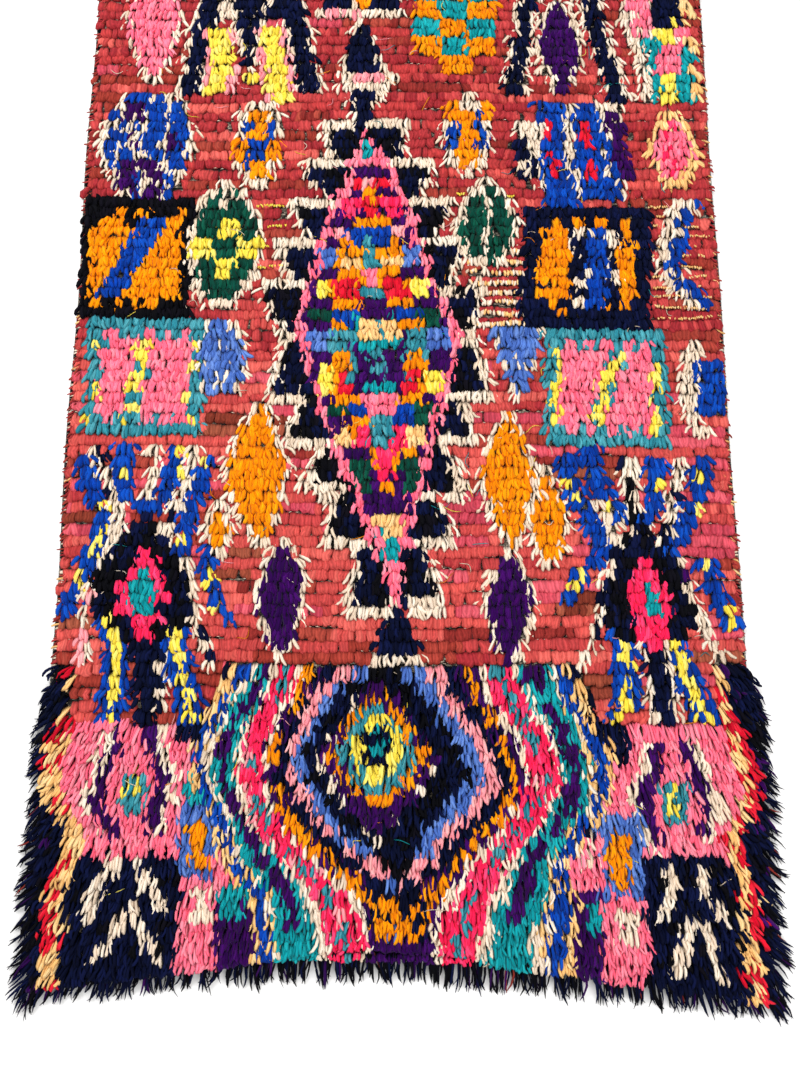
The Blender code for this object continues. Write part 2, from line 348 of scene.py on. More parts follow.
class Chart:
    """The rug's colour plan at a set of knots: each figure paints over those before it.

    Places are in millimetres: x to the right and y towards the plain end, from the rug's middle.
    """

    def __init__(self, x: Array, y: Array, dye: Array, chance: Array) -> None:
        """Takes the knots' places, the ground's dyes and one random number for each knot."""
        self.x, self.y, self.dye, self.chance = x, y, dye.copy(), chance

    def put(self, where: Array, dye: Dye) -> None:
        """Knots one dye wherever the mask says."""
        self.dye[where] = int(dye)

    def fleck(self, where: Array, dye: Dye, share: float, low: float = 0.0) -> None:
        """Knots one dye into a share of the mask's knots, picked by chance from a low bound up."""
        self.put(where & (self.chance >= low) & (self.chance < low + share), dye)

    def box(self, left: float, right: float, low: float, high: float) -> Array:
        """Finds the knots in an upright rectangle."""
        return (self.x > left) & (self.x < right) & (self.y > low) & (self.y < high)

    def lozenge(self, x: float, y: float, half_width: float, half_height: float,
                power: float = 1.0) -> Array:
        """Finds the knots in a lozenge, whose sides bulge with a higher power.

        Args:
            x: the middle's x.
            y: the middle's y.
            half_width: half of its width.
            half_height: half of its height.
            power: how far its sides bulge, with 1 for straight ones.

        Returns:
            A mask of the knots.
        """
        across = np.abs(self.x - x) / max(half_width, 1e-3)
        along = np.abs(self.y - y) / max(half_height, 1e-3)
        return across ** power + along ** power < 1

    def stripe(self, points: Sequence[Point], half_width: float) -> Array:
        """Finds the knots along a line that climbs through the points, measured across.

        Args:
            points: where the line runs, from one end to the other.
            half_width: half of its width, level across the rug.

        Returns:
            A mask of the knots.
        """
        found = np.zeros(self.x.shape, bool)
        for (x0, y0), (x1, y1) in zip(points, points[1:]):
            share = (self.y - y0) / (y1 - y0)
            middle = x0 + (x1 - x0) * share
            found |= (share >= 0) & (share <= 1) & (np.abs(self.x - middle) < half_width)
        return found

    def wedge(self, apex: Point, base_y: float, left: float, right: float) -> Array:
        """Finds the knots in a triangle from its apex to a level base between two ends.

        Args:
            apex: its tip.
            base_y: the height of its base.
            left: the base's left end.
            right: the base's right end.

        Returns:
            A mask of the knots.
        """
        share = (self.y - apex[1]) / (base_y - apex[1])
        low = apex[0] + (left - apex[0]) * share
        high = apex[0] + (right - apex[0]) * share
        return (share >= 0) & (share <= 1) & (self.x > low) & (self.x < high)

    def boxes(self, *spots: tuple[Any, ...]) -> None:
        """Knots rectangles in turn: left, right, low, high, dye and, where not all, a share."""
        for left, right, low, high, dye, *share in spots:
            self.fleck(self.box(left, right, low, high), dye, *(share or [1.0]))

    def wedges(self, *spots: tuple[Point, float, float, float, Dye]) -> None:
        """Knots triangles in turn: apex, height, left and right of the base, and dye of each."""
        for apex, base_y, left, right, dye in spots:
            self.put(self.wedge(apex, base_y, left, right), dye)

    def lines(self, dye: Dye, half_width: float, *paths: Sequence[Point]) -> None:
        """Knots one line of a dye along each path."""
        for path in paths:
            self.put(self.stripe(path, half_width), dye)


@dataclass(frozen=True)
class Lozenge:
    """A filled lozenge with a knotted outline of another colour."""

    x: float
    top: float
    bottom: float
    half_width: float
    fill: Dye
    outline: Dye = IVORY
    rim: float = 15.0
    power: float = 1.12

    def draw(self, chart: Chart) -> None:
        """Paints the outline, then the fill.

        Args:
            chart: the colour plan to knot into.
        """
        y, tall = (self.top + self.bottom) / 2, (self.top - self.bottom) / 2
        chart.put(chart.lozenge(self.x, y, self.half_width, tall, self.power), self.outline)
        chart.put(chart.lozenge(self.x, y, self.half_width - self.rim, tall - self.rim * 1.3,
                                self.power), self.fill)


class Strand(Enum):
    """How a leg or stroke is coloured across its width."""

    PLAIN = "one colour"
    OUTLINED = "a core between two pale lines"
    FLECKED = "one colour with flecks of another"
    CORED = "a line of another colour down the middle"


PLAIN, OUTLINED, FLECKED, CORED = Strand


@dataclass(frozen=True)
class Stroke:
    """A slanting line of knots, such as a spider's leg."""

    points: tuple[Point, ...]
    half_width: float
    dye: Dye
    kind: Strand = PLAIN
    second: Dye = IVORY
    rim: float = 11.0

    def draw(self, chart: Chart) -> None:
        """Paints the line and what runs beside or inside it.

        Args:
            chart: the colour plan to knot into.
        """
        if self.kind is OUTLINED:
            chart.put(chart.stripe(self.points, self.half_width + self.rim), self.second)
        line = chart.stripe(self.points, self.half_width)
        chart.put(line, self.dye)
        if self.kind is FLECKED:
            inner = chart.stripe(self.points, self.half_width * 0.62)
            chart.fleck(inner, self.second, 0.24)
        if self.kind is CORED:
            chart.put(chart.stripe(self.points, self.half_width * 0.42), self.second)


@dataclass(frozen=True)
class Blob:
    """An upright patch of one dye, given by where its sides run at several depths down the rug."""

    dye: Dye
    depths: Numbers
    left: Numbers
    right: Numbers

    def draw(self, chart: Chart) -> None:
        """Paints the patch.

        Args:
            chart: the colour plan to knot into.
        """
        down = -chart.y
        inside = (down > self.depths[0]) & (down < self.depths[-1])
        inside &= chart.x > np.interp(down, self.depths, self.left)
        inside &= chart.x < np.interp(down, self.depths, self.right)
        chart.put(inside, self.dye)


@dataclass(frozen=True)
class Spider:
    """A many-legged spider: a dark body with a bright heart, blue and white legs."""

    legs: tuple[Stroke, ...]
    body: Blob
    hearts: tuple[Blob, ...]

    def draw(self, chart: Chart) -> None:
        """Paints the legs, then the body over them.

        Args:
            chart: the colour plan to knot into.
        """
        for leg in self.legs:
            leg.draw(chart)
        before = chart.dye.copy()
        self.body.draw(chart)
        chart.fleck((chart.dye != before) & (chart.dye == int(self.body.dye)), BLACK, 0.5)
        for heart in self.hearts:
            heart.draw(chart)


class SquareStyle(Enum):
    """What a bordered square holds."""

    SLANT = "one slanting stripe"
    BARS = "upright bars"


@dataclass(frozen=True)
class Square:
    """A bordered square with teeth above and below and a stripe or bars inside."""

    left: float
    right: float
    low: float
    high: float
    border: Dye
    fill: Dye
    style: SquareStyle
    slant_top: float = 0.0
    slant_low: float = 0.0
    border_side: float = 25.0
    border_end: float = 23.0
    stripe: Dye = BLUE
    stripe_half: float = 20.0
    yellow_sides: bool = False
    teeth: int = 4

    def draw(self, chart: Chart) -> None:
        """Paints border, fill, teeth and the figure inside.

        Args:
            chart: the colour plan to knot into.
        """
        whole = chart.box(self.left, self.right, self.low, self.high)
        chart.put(whole, self.border)
        left, right = self.left + self.border_side, self.right - self.border_side
        low, high = self.low + self.border_end, self.high - self.border_end
        inside = chart.box(left, right, low, high)
        chart.put(inside, self.fill)
        pitch = (right - left) / self.teeth
        gap = ((chart.x - left) / pitch) % 1 < 0.42
        end_rows = inside & ((chart.y > high - 23) | (chart.y < low + 23))
        chart.put(end_rows & gap, self.border)
        path = ((self.slant_top, high - 14), (self.slant_low, low + 16))
        if self.style is SquareStyle.SLANT:
            if self.yellow_sides:
                line = chart.stripe(path, self.stripe_half)
                chart.put(line, DUSTY_TEAL)
                chart.fleck(line, YELLOW, 0.5)
            else:
                chart.put(chart.stripe(path, self.stripe_half), self.stripe)
        else:
            middle = (left + right) / 2
            bars = chart.box(middle - 33, middle + 70, low + 18, high - 20)
            chart.put(bars, self.border)
            chart.fleck(bars, IVORY, 0.5)
            chart.put(bars & (np.abs(chart.x - middle - 25) < 19), self.stripe)
        if self.yellow_sides:
            side = whole & ((np.abs(chart.x - left + 2) < 7) | (np.abs(chart.x - right + 2) < 9))
            chart.fleck(side & (chart.y > low) & (chart.y < high - 20), YELLOW, 0.55)


@dataclass(frozen=True)
class Medallion:
    """The long toothed lozenge in the middle, beaded with small bright squares."""

    heights: Numbers = (
        505, 450, 400, 350, 300, 250, 200, 150, 100, 50, 0, -50, -100, -150, -200, -250, -300,
        -350, -400, -450, -500, -530)
    left: Numbers = (
        -76, -103, -120, -137, -160, -175, -184, -196, -210, -215, -205, -192, -172, -155, -132,
        -112, -96, -78, -58, -37, -18, -6)
    right: Numbers = (
        -70, -30, -5, 14, 30, 47, 62, 82, 106, 124, 118, 105, 92, 80, 66, 58, 42, 26, 14, 6, 3,
        -4)
    rim: float = 18.0
    # Beads in pairs: height, distance from the middle line, half width, half height and dye.
    pairs: tuple[tuple[float, float, float, float, Dye], ...] = (
        (322, 43, 20, 24, HOT_PINK), (266, 60, 18, 14, PALE_PINK),
        (213, 88, 15, 16, PERIWINKLE), (205, 38, 25, 46, GOLD),
        (206, 44, 17, 17, PEACH), (143, 99, 16, 18, YELLOW),
        (132, 49, 34, 32, GOLD), (140, 50, 26, 20, RED), (86, 116, 21, 20, GREEN),
        (56, 68, 30, 12, GOLD), (86, 66, 22, 20, BLUE), (25, 124, 20, 24, PERIWINKLE),
        (22, 77, 25, 28, DUSTY_TEAL), (-53, 105, 18, 26, YELLOW),
        (-50, 70, 22, 56, GOLD), (-60, 66, 17, 24, RED), (-124, 88, 22, 17, GREEN),
        (-150, 44, 24, 60, GOLD), (-124, 46, 18, 21, BLUE), (-180, 72, 15, 20, PEACH),
        (-176, 38, 16, 20, HOT_PINK), (-256, 52, 22, 34, GREEN),
        (-306, 30, 13, 15, PALE_PINK))
    # Beads on the middle line: height, half width, half height and dye.
    hearts: tuple[tuple[float, float, float, Dye], ...] = (
        (462, 14, 20, TEAL), (420, 26, 13, PURPLE), (390, 38, 17, RED),
        (388, 13, 15, PALE_PINK), (358, 18, 16, GOLD), (322, 20, 22, RED),
        (296, 40, 9, GOLD), (268, 42, 20, BLUE), (200, 15, 52, DUSTY_TEAL),
        (172, 15, 20, PINK), (130, 25, 22, DUSTY_TEAL), (102, 29, 14, PURPLE),
        (76, 46, 12, TEAL), (48, 46, 17, PEACH), (10, 48, 18, TEAL),
        (-30, 56, 36, DUSTY_TEAL), (-30, 48, 27, PURPLE), (-66, 32, 11, TEAL),
        (-104, 35, 27, PINK), (-165, 21, 36, DUSTY_TEAL), (-222, 30, 30, GOLD),
        (-236, 17, 34, HOT_PINK), (-282, 13, 14, GOLD), (-322, 46, 22, PURPLE),
        (-360, 34, 16, PEACH), (-402, 23, 26, TEAL))
    teeth_up: Numbers = (530.0, 437.0, 356.0, 262.0, 158.0)
    teeth_down: Numbers = (-99.0, -205.0, -303.0, -403.0, -535.0)
    tooth: float = 72.0
    bar: float = 24.0
    bar_reach: float = 94.0

    def axis(self, y: Array) -> Array:
        """Gives the lozenge's middle line, which leans to the right towards the near end."""
        depths = -np.array(self.heights)
        return (np.interp(-y, depths, self.left) + np.interp(-y, depths, self.right)) / 2

    def reach(self, y: Array) -> Array:
        """Gives the lozenge's half width at each height."""
        depths = -np.array(self.heights)
        return (np.interp(-y, depths, self.right) - np.interp(-y, depths, self.left)) / 2

    def draw(self, chart: Chart) -> None:
        """Paints the teeth, the outline, the purple ground and then the beads.

        Args:
            chart: the colour plan to knot into.
        """
        across, reach = np.abs(chart.x - self.axis(chart.y)), self.reach(chart.y)
        self.draw_teeth(chart, across, reach)
        self.draw_tail(chart)
        inside = (chart.y < self.heights[0]) & (chart.y > self.heights[-1])
        chart.put(inside & (across < reach), PINK)
        ground = inside & (across < reach - self.rim) & (chart.y > -428)
        chart.put(ground & (chart.y < 434), PURPLE)
        ground = ground | ((across < reach * 0.6) & (chart.y > 0) & inside)
        for bead_y, out, half_x, half_y, dye in self.pairs:
            near = (np.abs(across - out) < half_x) & (np.abs(chart.y - bead_y) < half_y)
            chart.put(near & ground, dye)
        for bead_y, half_x, half_y, dye in self.hearts:
            near = (across < half_x) & (np.abs(chart.y - bead_y) < half_y)
            chart.put(near & ground, dye)
        seam = ground & (across < 6)
        chart.put(seam & ((np.abs(chart.y - 48) < 17) | (np.abs(chart.y + 30) < 27)),
                  DUSTY_TEAL)

    def draw_teeth(self, chart: Chart, across: Array, reach: Array) -> None:
        """Paints stepped teeth down both sides: hanging above the middle, standing below it.

        Args:
            chart: the colour plan to knot into.
            across: how far each knot lies from the lozenge's middle line.
            reach: the lozenge's half width at each knot.
        """
        beyond = across - reach
        chart.put((np.abs(chart.y - 42) < 22) & (beyond > 0) & (beyond < 34), IVORY)
        for here, after in zip(self.teeth_up, self.teeth_up[1:] + (58.0,)):
            share = (here - self.bar - chart.y) / (here - after - self.bar)
            self.draw_tooth(chart, beyond, share, (chart.y < here) & (chart.y > here - self.bar))
        for before, here in zip((20.0,) + self.teeth_down, self.teeth_down):
            share = (chart.y - here - self.bar) / (before - here - self.bar)
            self.draw_tooth(chart, beyond, share, (chart.y > here) & (chart.y < here + self.bar))

    def draw_tooth(self, chart: Chart, beyond: Array, share: Array, bar: Array) -> None:
        """Paints one dark tooth and its ivory outline.

        Args:
            chart: the colour plan.
            beyond: how far each knot lies outside the lozenge.
            share: 0 at the tooth's base and 1 at its tip.
            bar: the knots in the row of the tooth's ivory base.
        """
        wide = self.tooth * (1 - np.clip(share, 0, 1) * 0.75)
        body = (share > 0) & (share < 1) & (beyond > -self.rim)
        chart.put(body & (beyond < wide + 16), IVORY)
        chart.put(body & (beyond < wide), NAVY)
        chart.fleck(body & (beyond < wide), BLACK, 0.45)
        chart.put(bar & (beyond > -self.rim) & (beyond < self.bar_reach), IVORY)

    def draw_tail(self, chart: Chart) -> None:
        """Paints the last tooth below the lozenge's tip and the cut point above its top.

        Args:
            chart: the colour plan to knot into.
        """
        chart.wedges(((-5, -528), -638, -67, 53, IVORY), ((-5, -520), -613, -47, 37, NAVY),
                     ((-80, 512), 632, -134, -20, IVORY),
                     ((-80, 520), 626, -114, -42, NAVY))
        chart.boxes((-135, -17, 613, 656, IVORY), (-99, -50, 622, 648, PALE_PINK))
        chart.wedges(((-81, 801), 652, -135, -24, IVORY),
                     ((-81, 791), 655, -121, -40, NAVY))


@dataclass(frozen=True)
class SideBlock:
    """One side of the panel: lines on pink, strips beside the eye and strokes on navy."""

    lines: tuple[tuple[Point, ...], ...]
    ivory_shifts: tuple[float, float]
    ivory_half: float
    hub: tuple[float, float, float, float]
    boxes: tuple[tuple[Any, ...], ...]
    strokes: tuple[tuple[Point, ...], ...]

    def draw(self, chart: Chart) -> None:
        """Paints the lines and their hub, then the strips and the strokes.

        Args:
            chart: the colour plan to knot into.
        """
        for path, shift in zip(self.lines, self.ivory_shifts):
            chart.lines(IVORY, self.ivory_half, [(x + shift, y) for x, y in path])
            chart.lines(PURPLE, 12, path)
        chart.put(chart.lozenge(*self.hub, 2.2), DUSTY_TEAL)
        chart.boxes(*self.boxes)
        chart.lines(IVORY, 12, *self.strokes)


LEFT_BLOCK = SideBlock(
    lines=(((-530, -765), (-545, -820), (-566, -870), (-556, -912), (-522, -952)),
           ((-475, -765), (-462, -805), (-440, -850), (-452, -895), (-466, -958))),
    ivory_shifts=(-16, 17), ivory_half=11, hub=(-498, -872, 27, 38),
    boxes=((-402, -350, -892, -846, TEAL), (-410, -330, -1026, -888, PERIWINKLE),
           (-392, -352, -1008, -936, GOLD), (-352, -298, -1042, -984, PINK),
           (-402, -328, -1240, -1022, PINK), (-376, -344, -1096, -1048, IVORY),
           (-336, -255, -1240, -1034, PURPLE), (-326, -286, -1102, -1044, TEAL),
           (-516, -482, -886, -848, YELLOW, 0.6)),
    strokes=(((-530, -996), (-545, -1030), (-560, -1062), (-570, -1098)),
             ((-492, -990), (-472, -1014), (-454, -1046), (-430, -1080)),
             ((-502, -1062), (-492, -1092), (-520, -1120), (-556, -1174)),
             ((-494, -1062), (-486, -1092), (-464, -1122), (-436, -1172))))

RIGHT_BLOCK = SideBlock(
    lines=(((486, -776), (481, -835), (448, -872), (461, -920), (478, -978)),
           ((526, -776), (549, -830), (556, -862), (580, -910), (545, -956))),
    ivory_shifts=(-18, 18), ivory_half=12, hub=(511, -890, 30, 42),
    boxes=((362, 446, -1058, -912, PERIWINKLE), (385, 423, -1038, -955, GOLD),
           (314, 372, -1052, -946, PINK), (312, 368, -1260, -1048, PURPLE),
           (340, 362, -1126, -1064, TEAL), (366, 448, -1260, -1056, PINK),
           (396, 432, -1136, -1084, IVORY), (498, 526, -908, -860, YELLOW, 0.6),
           (338, 366, -1010, -960, IVORY, 0.7)),
    strokes=(((494, -1002), (500, -1040), (490, -1075), (474, -1108)),
             ((553, -1012), (560, -1050), (580, -1082), (602, -1116)),
             ((536, -1102), (515, -1126), (508, -1160), (494, -1194)),
             ((550, -1098), (560, -1140), (570, -1180), (577, -1210))))


@dataclass(frozen=True)
class EyePanel:
    """The shag panel: nested lozenges like an eye, between pink and navy blocks."""

    heights: Numbers = (
        -650, -700, -750, -800, -850, -900, -950, -1000, -1050, -1100, -1150)
    # Six lines round the eye, from its dark heart outwards: their x at each height.
    left_lines: tuple[Numbers, ...] = (
        (-55, -128, -150, -180, -172, -130, -98, -30, -10, -10, -10),
        (-115, -175, -190, -212, -207, -178, -135, -75, -10, -10, -10),
        (-183, -200, -228, -248, -235, -228, -195, -140, -78, -48, -45),
        (-240, -250, -284, -302, -300, -285, -258, -202, -165, -140, -126),
        (-275, -308, -336, -356, -352, -325, -302, -282, -232, -226, -220),
        (-325, -345, -372, -392, -388, -360, -342, -325, -285, -270, -266))
    right_lines: tuple[Numbers, ...] = (
        (0, 45, 85, 115, 130, 82, 45, 20, -10, -10, -10),
        (82, 100, 140, 170, 195, 160, 100, 62, -10, -10, -10),
        (140, 150, 190, 212, 228, 205, 165, 115, 80, 50, 48),
        (210, 235, 262, 280, 305, 275, 238, 195, 175, 150, 142),
        (285, 298, 330, 345, 350, 345, 305, 270, 270, 245, 240),
        (328, 345, 370, 395, 398, 390, 345, 315, 318, 325, 315))
    # Where each band starts, counted in lines, and its dye.
    bands: tuple[tuple[float, Dye], ...] = (
        (0.0, PERIWINKLE), (0.55, PALE_PINK), (1.0, NAVY), (1.48, PURPLE),
        (1.6, GOLD), (2.0, PURPLE), (2.13, IVORY), (2.28, HOT_PINK),
        (3.0, IVORY), (3.2, TEAL), (3.38, PURPLE), (3.75, TEAL),
        (4.0, IVORY), (4.33, BLUE), (4.72, PEACH))
    # The heart's lozenges: x, y, half sizes, power, dye and share, then flecks and their share.
    core: tuple[tuple[Any, ...], ...] = (
        (-40, -812, 118, 152, 1.15, IVORY, 0.65, IVORY, 0),
        (-40, -812, 109, 141, 1.15, PURPLE, 1, IVORY, 0),
        (-42, -803, 94, 108, 1.25, GOLD, 1, PURPLE, 0.1),
        (-43, -800, 69, 88, 1.35, DUSTY_TEAL, 1, IVORY, 0),
        (-42, -795, 47, 66, 1.6, YELLOW, 1, IVORY, 0),
        (-43, -787, 29, 38, 2.2, NAVY, 1, TEAL, 0.3))
    # The peach and red border's middle line on each side.
    border_heights: Numbers = (
        -650, -700, -750, -800, -850, -900, -930, -960, -1000, -1050, -1100, -1150, -1200, -1240)
    border_left: Numbers = (
        617, 618, 630, 652, 655, 632, 615, 604, 612, 630, 630, 630, 632, 636)
    border_right: Numbers = (
        588, 602, 624, 642, 655, 648, 630, 608, 622, 638, 640, 636, 636, 650)

    def level(self, chart: Chart) -> tuple[Array, Array, Array]:
        """Measures how far out from the heart each knot lies.

        Args:
            chart: the colour plan.

        Returns:
            The distance counted in lines, the heart's knots and the knots outside the last line.
        """
        depths = -np.array(self.heights)
        left = [np.interp(-chart.y, depths, line) for line in self.left_lines]
        right = [np.interp(-chart.y, depths, line) for line in self.right_lines]
        level = np.zeros(chart.x.shape)
        for number in range(len(left) - 1):
            wide_left = np.maximum(left[number] - left[number + 1], 2.0)
            wide_right = np.maximum(right[number + 1] - right[number], 2.0)
            out = np.where(chart.x < (left[0] + right[0]) / 2,
                           (left[number] - chart.x) / wide_left,
                           (chart.x - right[number]) / wide_right)
            level += np.clip(out, 0, 1)
        heart = (chart.x > left[0]) & (chart.x < right[0])
        outside = (chart.x < left[-1]) | (chart.x > right[-1])
        return level, heart, outside

    def draw(self, chart: Chart) -> None:
        """Paints the blocks at the sides, then the rings, then the heart.

        Args:
            chart: the colour plan to knot into.
        """
        self.draw_blocks(chart)
        level, heart, outside = self.level(chart)
        starts = np.array([start for start, _ in self.bands])
        dyes = np.array([int(dye) for _, dye in self.bands])
        rings = ~heart & ~outside
        chart.dye[rings] = dyes[np.searchsorted(starts, level[rings], side="right") - 1]
        for start, stop, dye, share, low in (
                (2.5, 2.74, DUSTY_TEAL, 0.6, 0.0), (2.34, 2.95, PALE_PINK, 0.07, 0.7),
                (4.0, 4.33, PEACH, 0.4, 0.0), (1.5, 2.0, NAVY, 0.07, 0.0)):
            chart.fleck(rings & (level > start) & (level < stop), dye, share, low)
        foot = rings & (level > 1.0) & (level < 2.0) & (chart.y < -1070)
        chart.put(foot, GOLD)
        chart.fleck(foot, NAVY, 0.3)
        chart.put(rings & (level > 3.36) & (level < 3.8) & (chart.y < -1112), TEAL)
        chart.put((level < 1.0) & chart.box(-75, 66, -1032, -988), PALE_PINK)
        chart.boxes((-50, 60, -1230, -1138, PURPLE))
        chart.put(heart, NAVY)
        chart.fleck(heart, BLACK, 0.3)
        for x, y, half_x, half_y, power, dye, share, flecks, fleck_share in self.core:
            inside = chart.lozenge(x, y, half_x, half_y, power) & (heart | (level < 0.3))
            chart.fleck(inside, dye, share)
            chart.fleck(inside, flecks, fleck_share)

    def draw_blocks(self, chart: Chart) -> None:
        """Paints the blocks, strips and borders on both sides.

        Args:
            chart: the colour plan to knot into.
        """
        chart.put(np.ones(chart.x.shape, bool), NAVY)
        chart.fleck(np.abs(chart.x) > 400, BLACK, 0.12)
        depths = -np.array(self.border_heights)
        for side, line, block_low in ((-1, self.border_left, -986), (1, self.border_right, -994)):
            x = chart.x * side
            middle = np.interp(-chart.y, depths, line)
            chart.put((x > 384) & (chart.y > block_low) & (chart.y < -738) & (x < middle),
                      PINK)
            border = np.abs(x - middle) < 19
            chart.put(border, PEACH)
            chart.fleck(border & (x > middle), RED, 0.6)
            chart.fleck(border & (x <= middle), RED, 0.16)
            outer = x > middle + 19
            chart.put(outer, NAVY)
            chart.fleck(outer, BLACK, 0.3)
            chart.fleck(outer, PURPLE, 0.07, 0.6)
        chart.boxes((-428, -330, -782, -716, NAVY), (350, 432, -822, -742, NAVY))
        LEFT_BLOCK.draw(chart)
        RIGHT_BLOCK.draw(chart)


def legs(dye: Dye, kind: Strand, half_width: float, second: Dye,
         paths: Sequence[tuple[Point, ...]], rim: float = 11.0) -> tuple[Stroke, ...]:
    """Makes one stroke for each path, all of one kind.

    Args:
        dye: the strokes' colour.
        kind: how they are coloured across.
        half_width: half of their width.
        second: the colour of their flecks, core or outline.
        paths: where they run, in millimetres on the rug.
        rim: width of an outline.

    Returns:
        The strokes.
    """
    return tuple(Stroke(path, half_width, dye, kind, second, rim) for path in paths)


LEFT_SPIDER = Spider(
    legs=(
        *legs(IVORY, FLECKED, 11, NAVY, (
            ((-608, -203), (-585, -260), (-566, -310), (-556, -350), (-570, -392)),
            ((-488, -205), (-484, -250), (-496, -285), (-508, -330)),
            ((-412, -205), (-412, -250), (-432, -285), (-440, -315), (-468, -365), (-455, -395)),
            ((-432, -415), (-414, -480), (-396, -545), (-372, -610), (-358, -640)))),
        *legs(IVORY, FLECKED, 8, PALE_PINK, (
            ((-582, -410), (-598, -470), (-606, -520), (-612, -560), (-612, -640)),)),
        *legs(BLUE, FLECKED, 14, YELLOW, (
            ((-636, -213), (-622, -265), (-606, -310), (-590, -350), (-600, -395), (-616, -450),
             (-632, -488), (-650, -535)),
            ((-553, -200), (-548, -298)), ((-441, -203), (-450, -250), (-466, -300)),
            ((-380, -225), (-398, -280), (-413, -320), (-428, -365), (-435, -425)),
            ((-389, -415), (-375, -470), (-360, -505), (-338, -550)))),
        *legs(BLUE, PLAIN, 27, YELLOW, (((-495, -302), (-495, -327)),)),
        *legs(BLUE, CORED, 20, YELLOW, (
            ((-575, -538), (-552, -570), (-545, -610), (-548, -660), (-557, -740)),
            ((-432, -560), (-432, -610), (-418, -660), (-398, -735)))),
        *legs(IVORY, FLECKED, 12, NAVY, (
            ((-462, -590), (-455, -645), (-468, -735)),)),
        *legs(NAVY, PLAIN, 17, IVORY, (((-491, -596), (-489, -740)),))),
    body=Blob(NAVY, (338, 370, 400, 450, 500, 545, 580, 600),
              (-498, -535, -568, -591, -600, -575, -530, -518),
              (-498, -478, -455, -432, -409, -412, -455, -464)),
    hearts=(
        Blob(HOT_PINK, (404, 430, 452, 470, 500, 530, 550, 590),
             (-507, -527, -527, -547, -554, -552, -518, -502),
             (-494, -480, -476, -450, -446, -460, -468, -488)),
        Blob(TEAL, (456, 470, 490, 520, 548), (-514, -517, -528, -520, -507),
             (-485, -484, -475, -478, -488))))

RIGHT_SPIDER = Spider(
    legs=(
        *legs(IVORY, FLECKED, 17, NAVY, (((457, -222), (458, -350)),)),
        *legs(BLACK, PLAIN, 7, NAVY, (((458, -265), (458, -350)),)),
        *legs(IVORY, FLECKED, 11, NAVY, (
            ((560, -215), (562, -250), (550, -280), (536, -315), (533, -350), (518, -385),
             (525, -418)),
            ((370, -298), (392, -325), (408, -355), (428, -400), (440, -420)),
            ((421, -422), (407, -480), (398, -540), (382, -570), (368, -610), (340, -645)))),
        *legs(IVORY, FLECKED, 8, NAVY, (
            ((455, -355), (456, -418)), ((490, -367), (492, -404)))),
        *legs(IVORY, FLECKED, 11, PURPLE, (
            ((540, -430), (562, -485), (580, -525), (590, -565), (612, -610), (628, -635)),)),
        *legs(BLUE, FLECKED, 14, YELLOW, (
            ((335, -215), (345, -290), (362, -325), (376, -360), (394, -400), (408, -422)),
            ((383, -203), (388, -260), (400, -292), (421, -328), (446, -364)),
            ((374, -420), (374, -440)), ((356, -440), (348, -470), (334, -505)),
            ((520, -215), (513, -260), (505, -300), (490, -348)),
            ((608, -235), (600, -280), (580, -320), (562, -356), (546, -388), (530, -418)),
            ((594, -430), (610, -480), (626, -518), (644, -556)))),
        *legs(BLUE, CORED, 22, YELLOW, (
            ((425, -556), (436, -600), (433, -650), (418, -735)),
            ((520, -560), (537, -600), (545, -650), (578, -735)))),
        *legs(NAVY, OUTLINED, 14, IVORY, (
            ((495, -588), (495, -650), (499, -740)),), rim=11)),
    body=Blob(NAVY, (345, 380, 420, 450, 500, 540, 560, 590),
              (464, 455, 421, 419, 405, 403, 407, 440),
              (464, 487, 521, 539, 566, 578, 566, 530)),
    hearts=(
        Blob(HOT_PINK, (418, 430, 450, 470, 490, 520, 550, 575, 600),
             (470, 460, 460, 455, 444, 450, 455, 457, 483),
             (484, 494, 505, 508, 525, 536, 521, 519, 502)),
        Blob(TEAL, (470, 490, 500, 530, 550), (478, 478, 469, 474, 480),
             (493, 494, 507, 514, 505))))


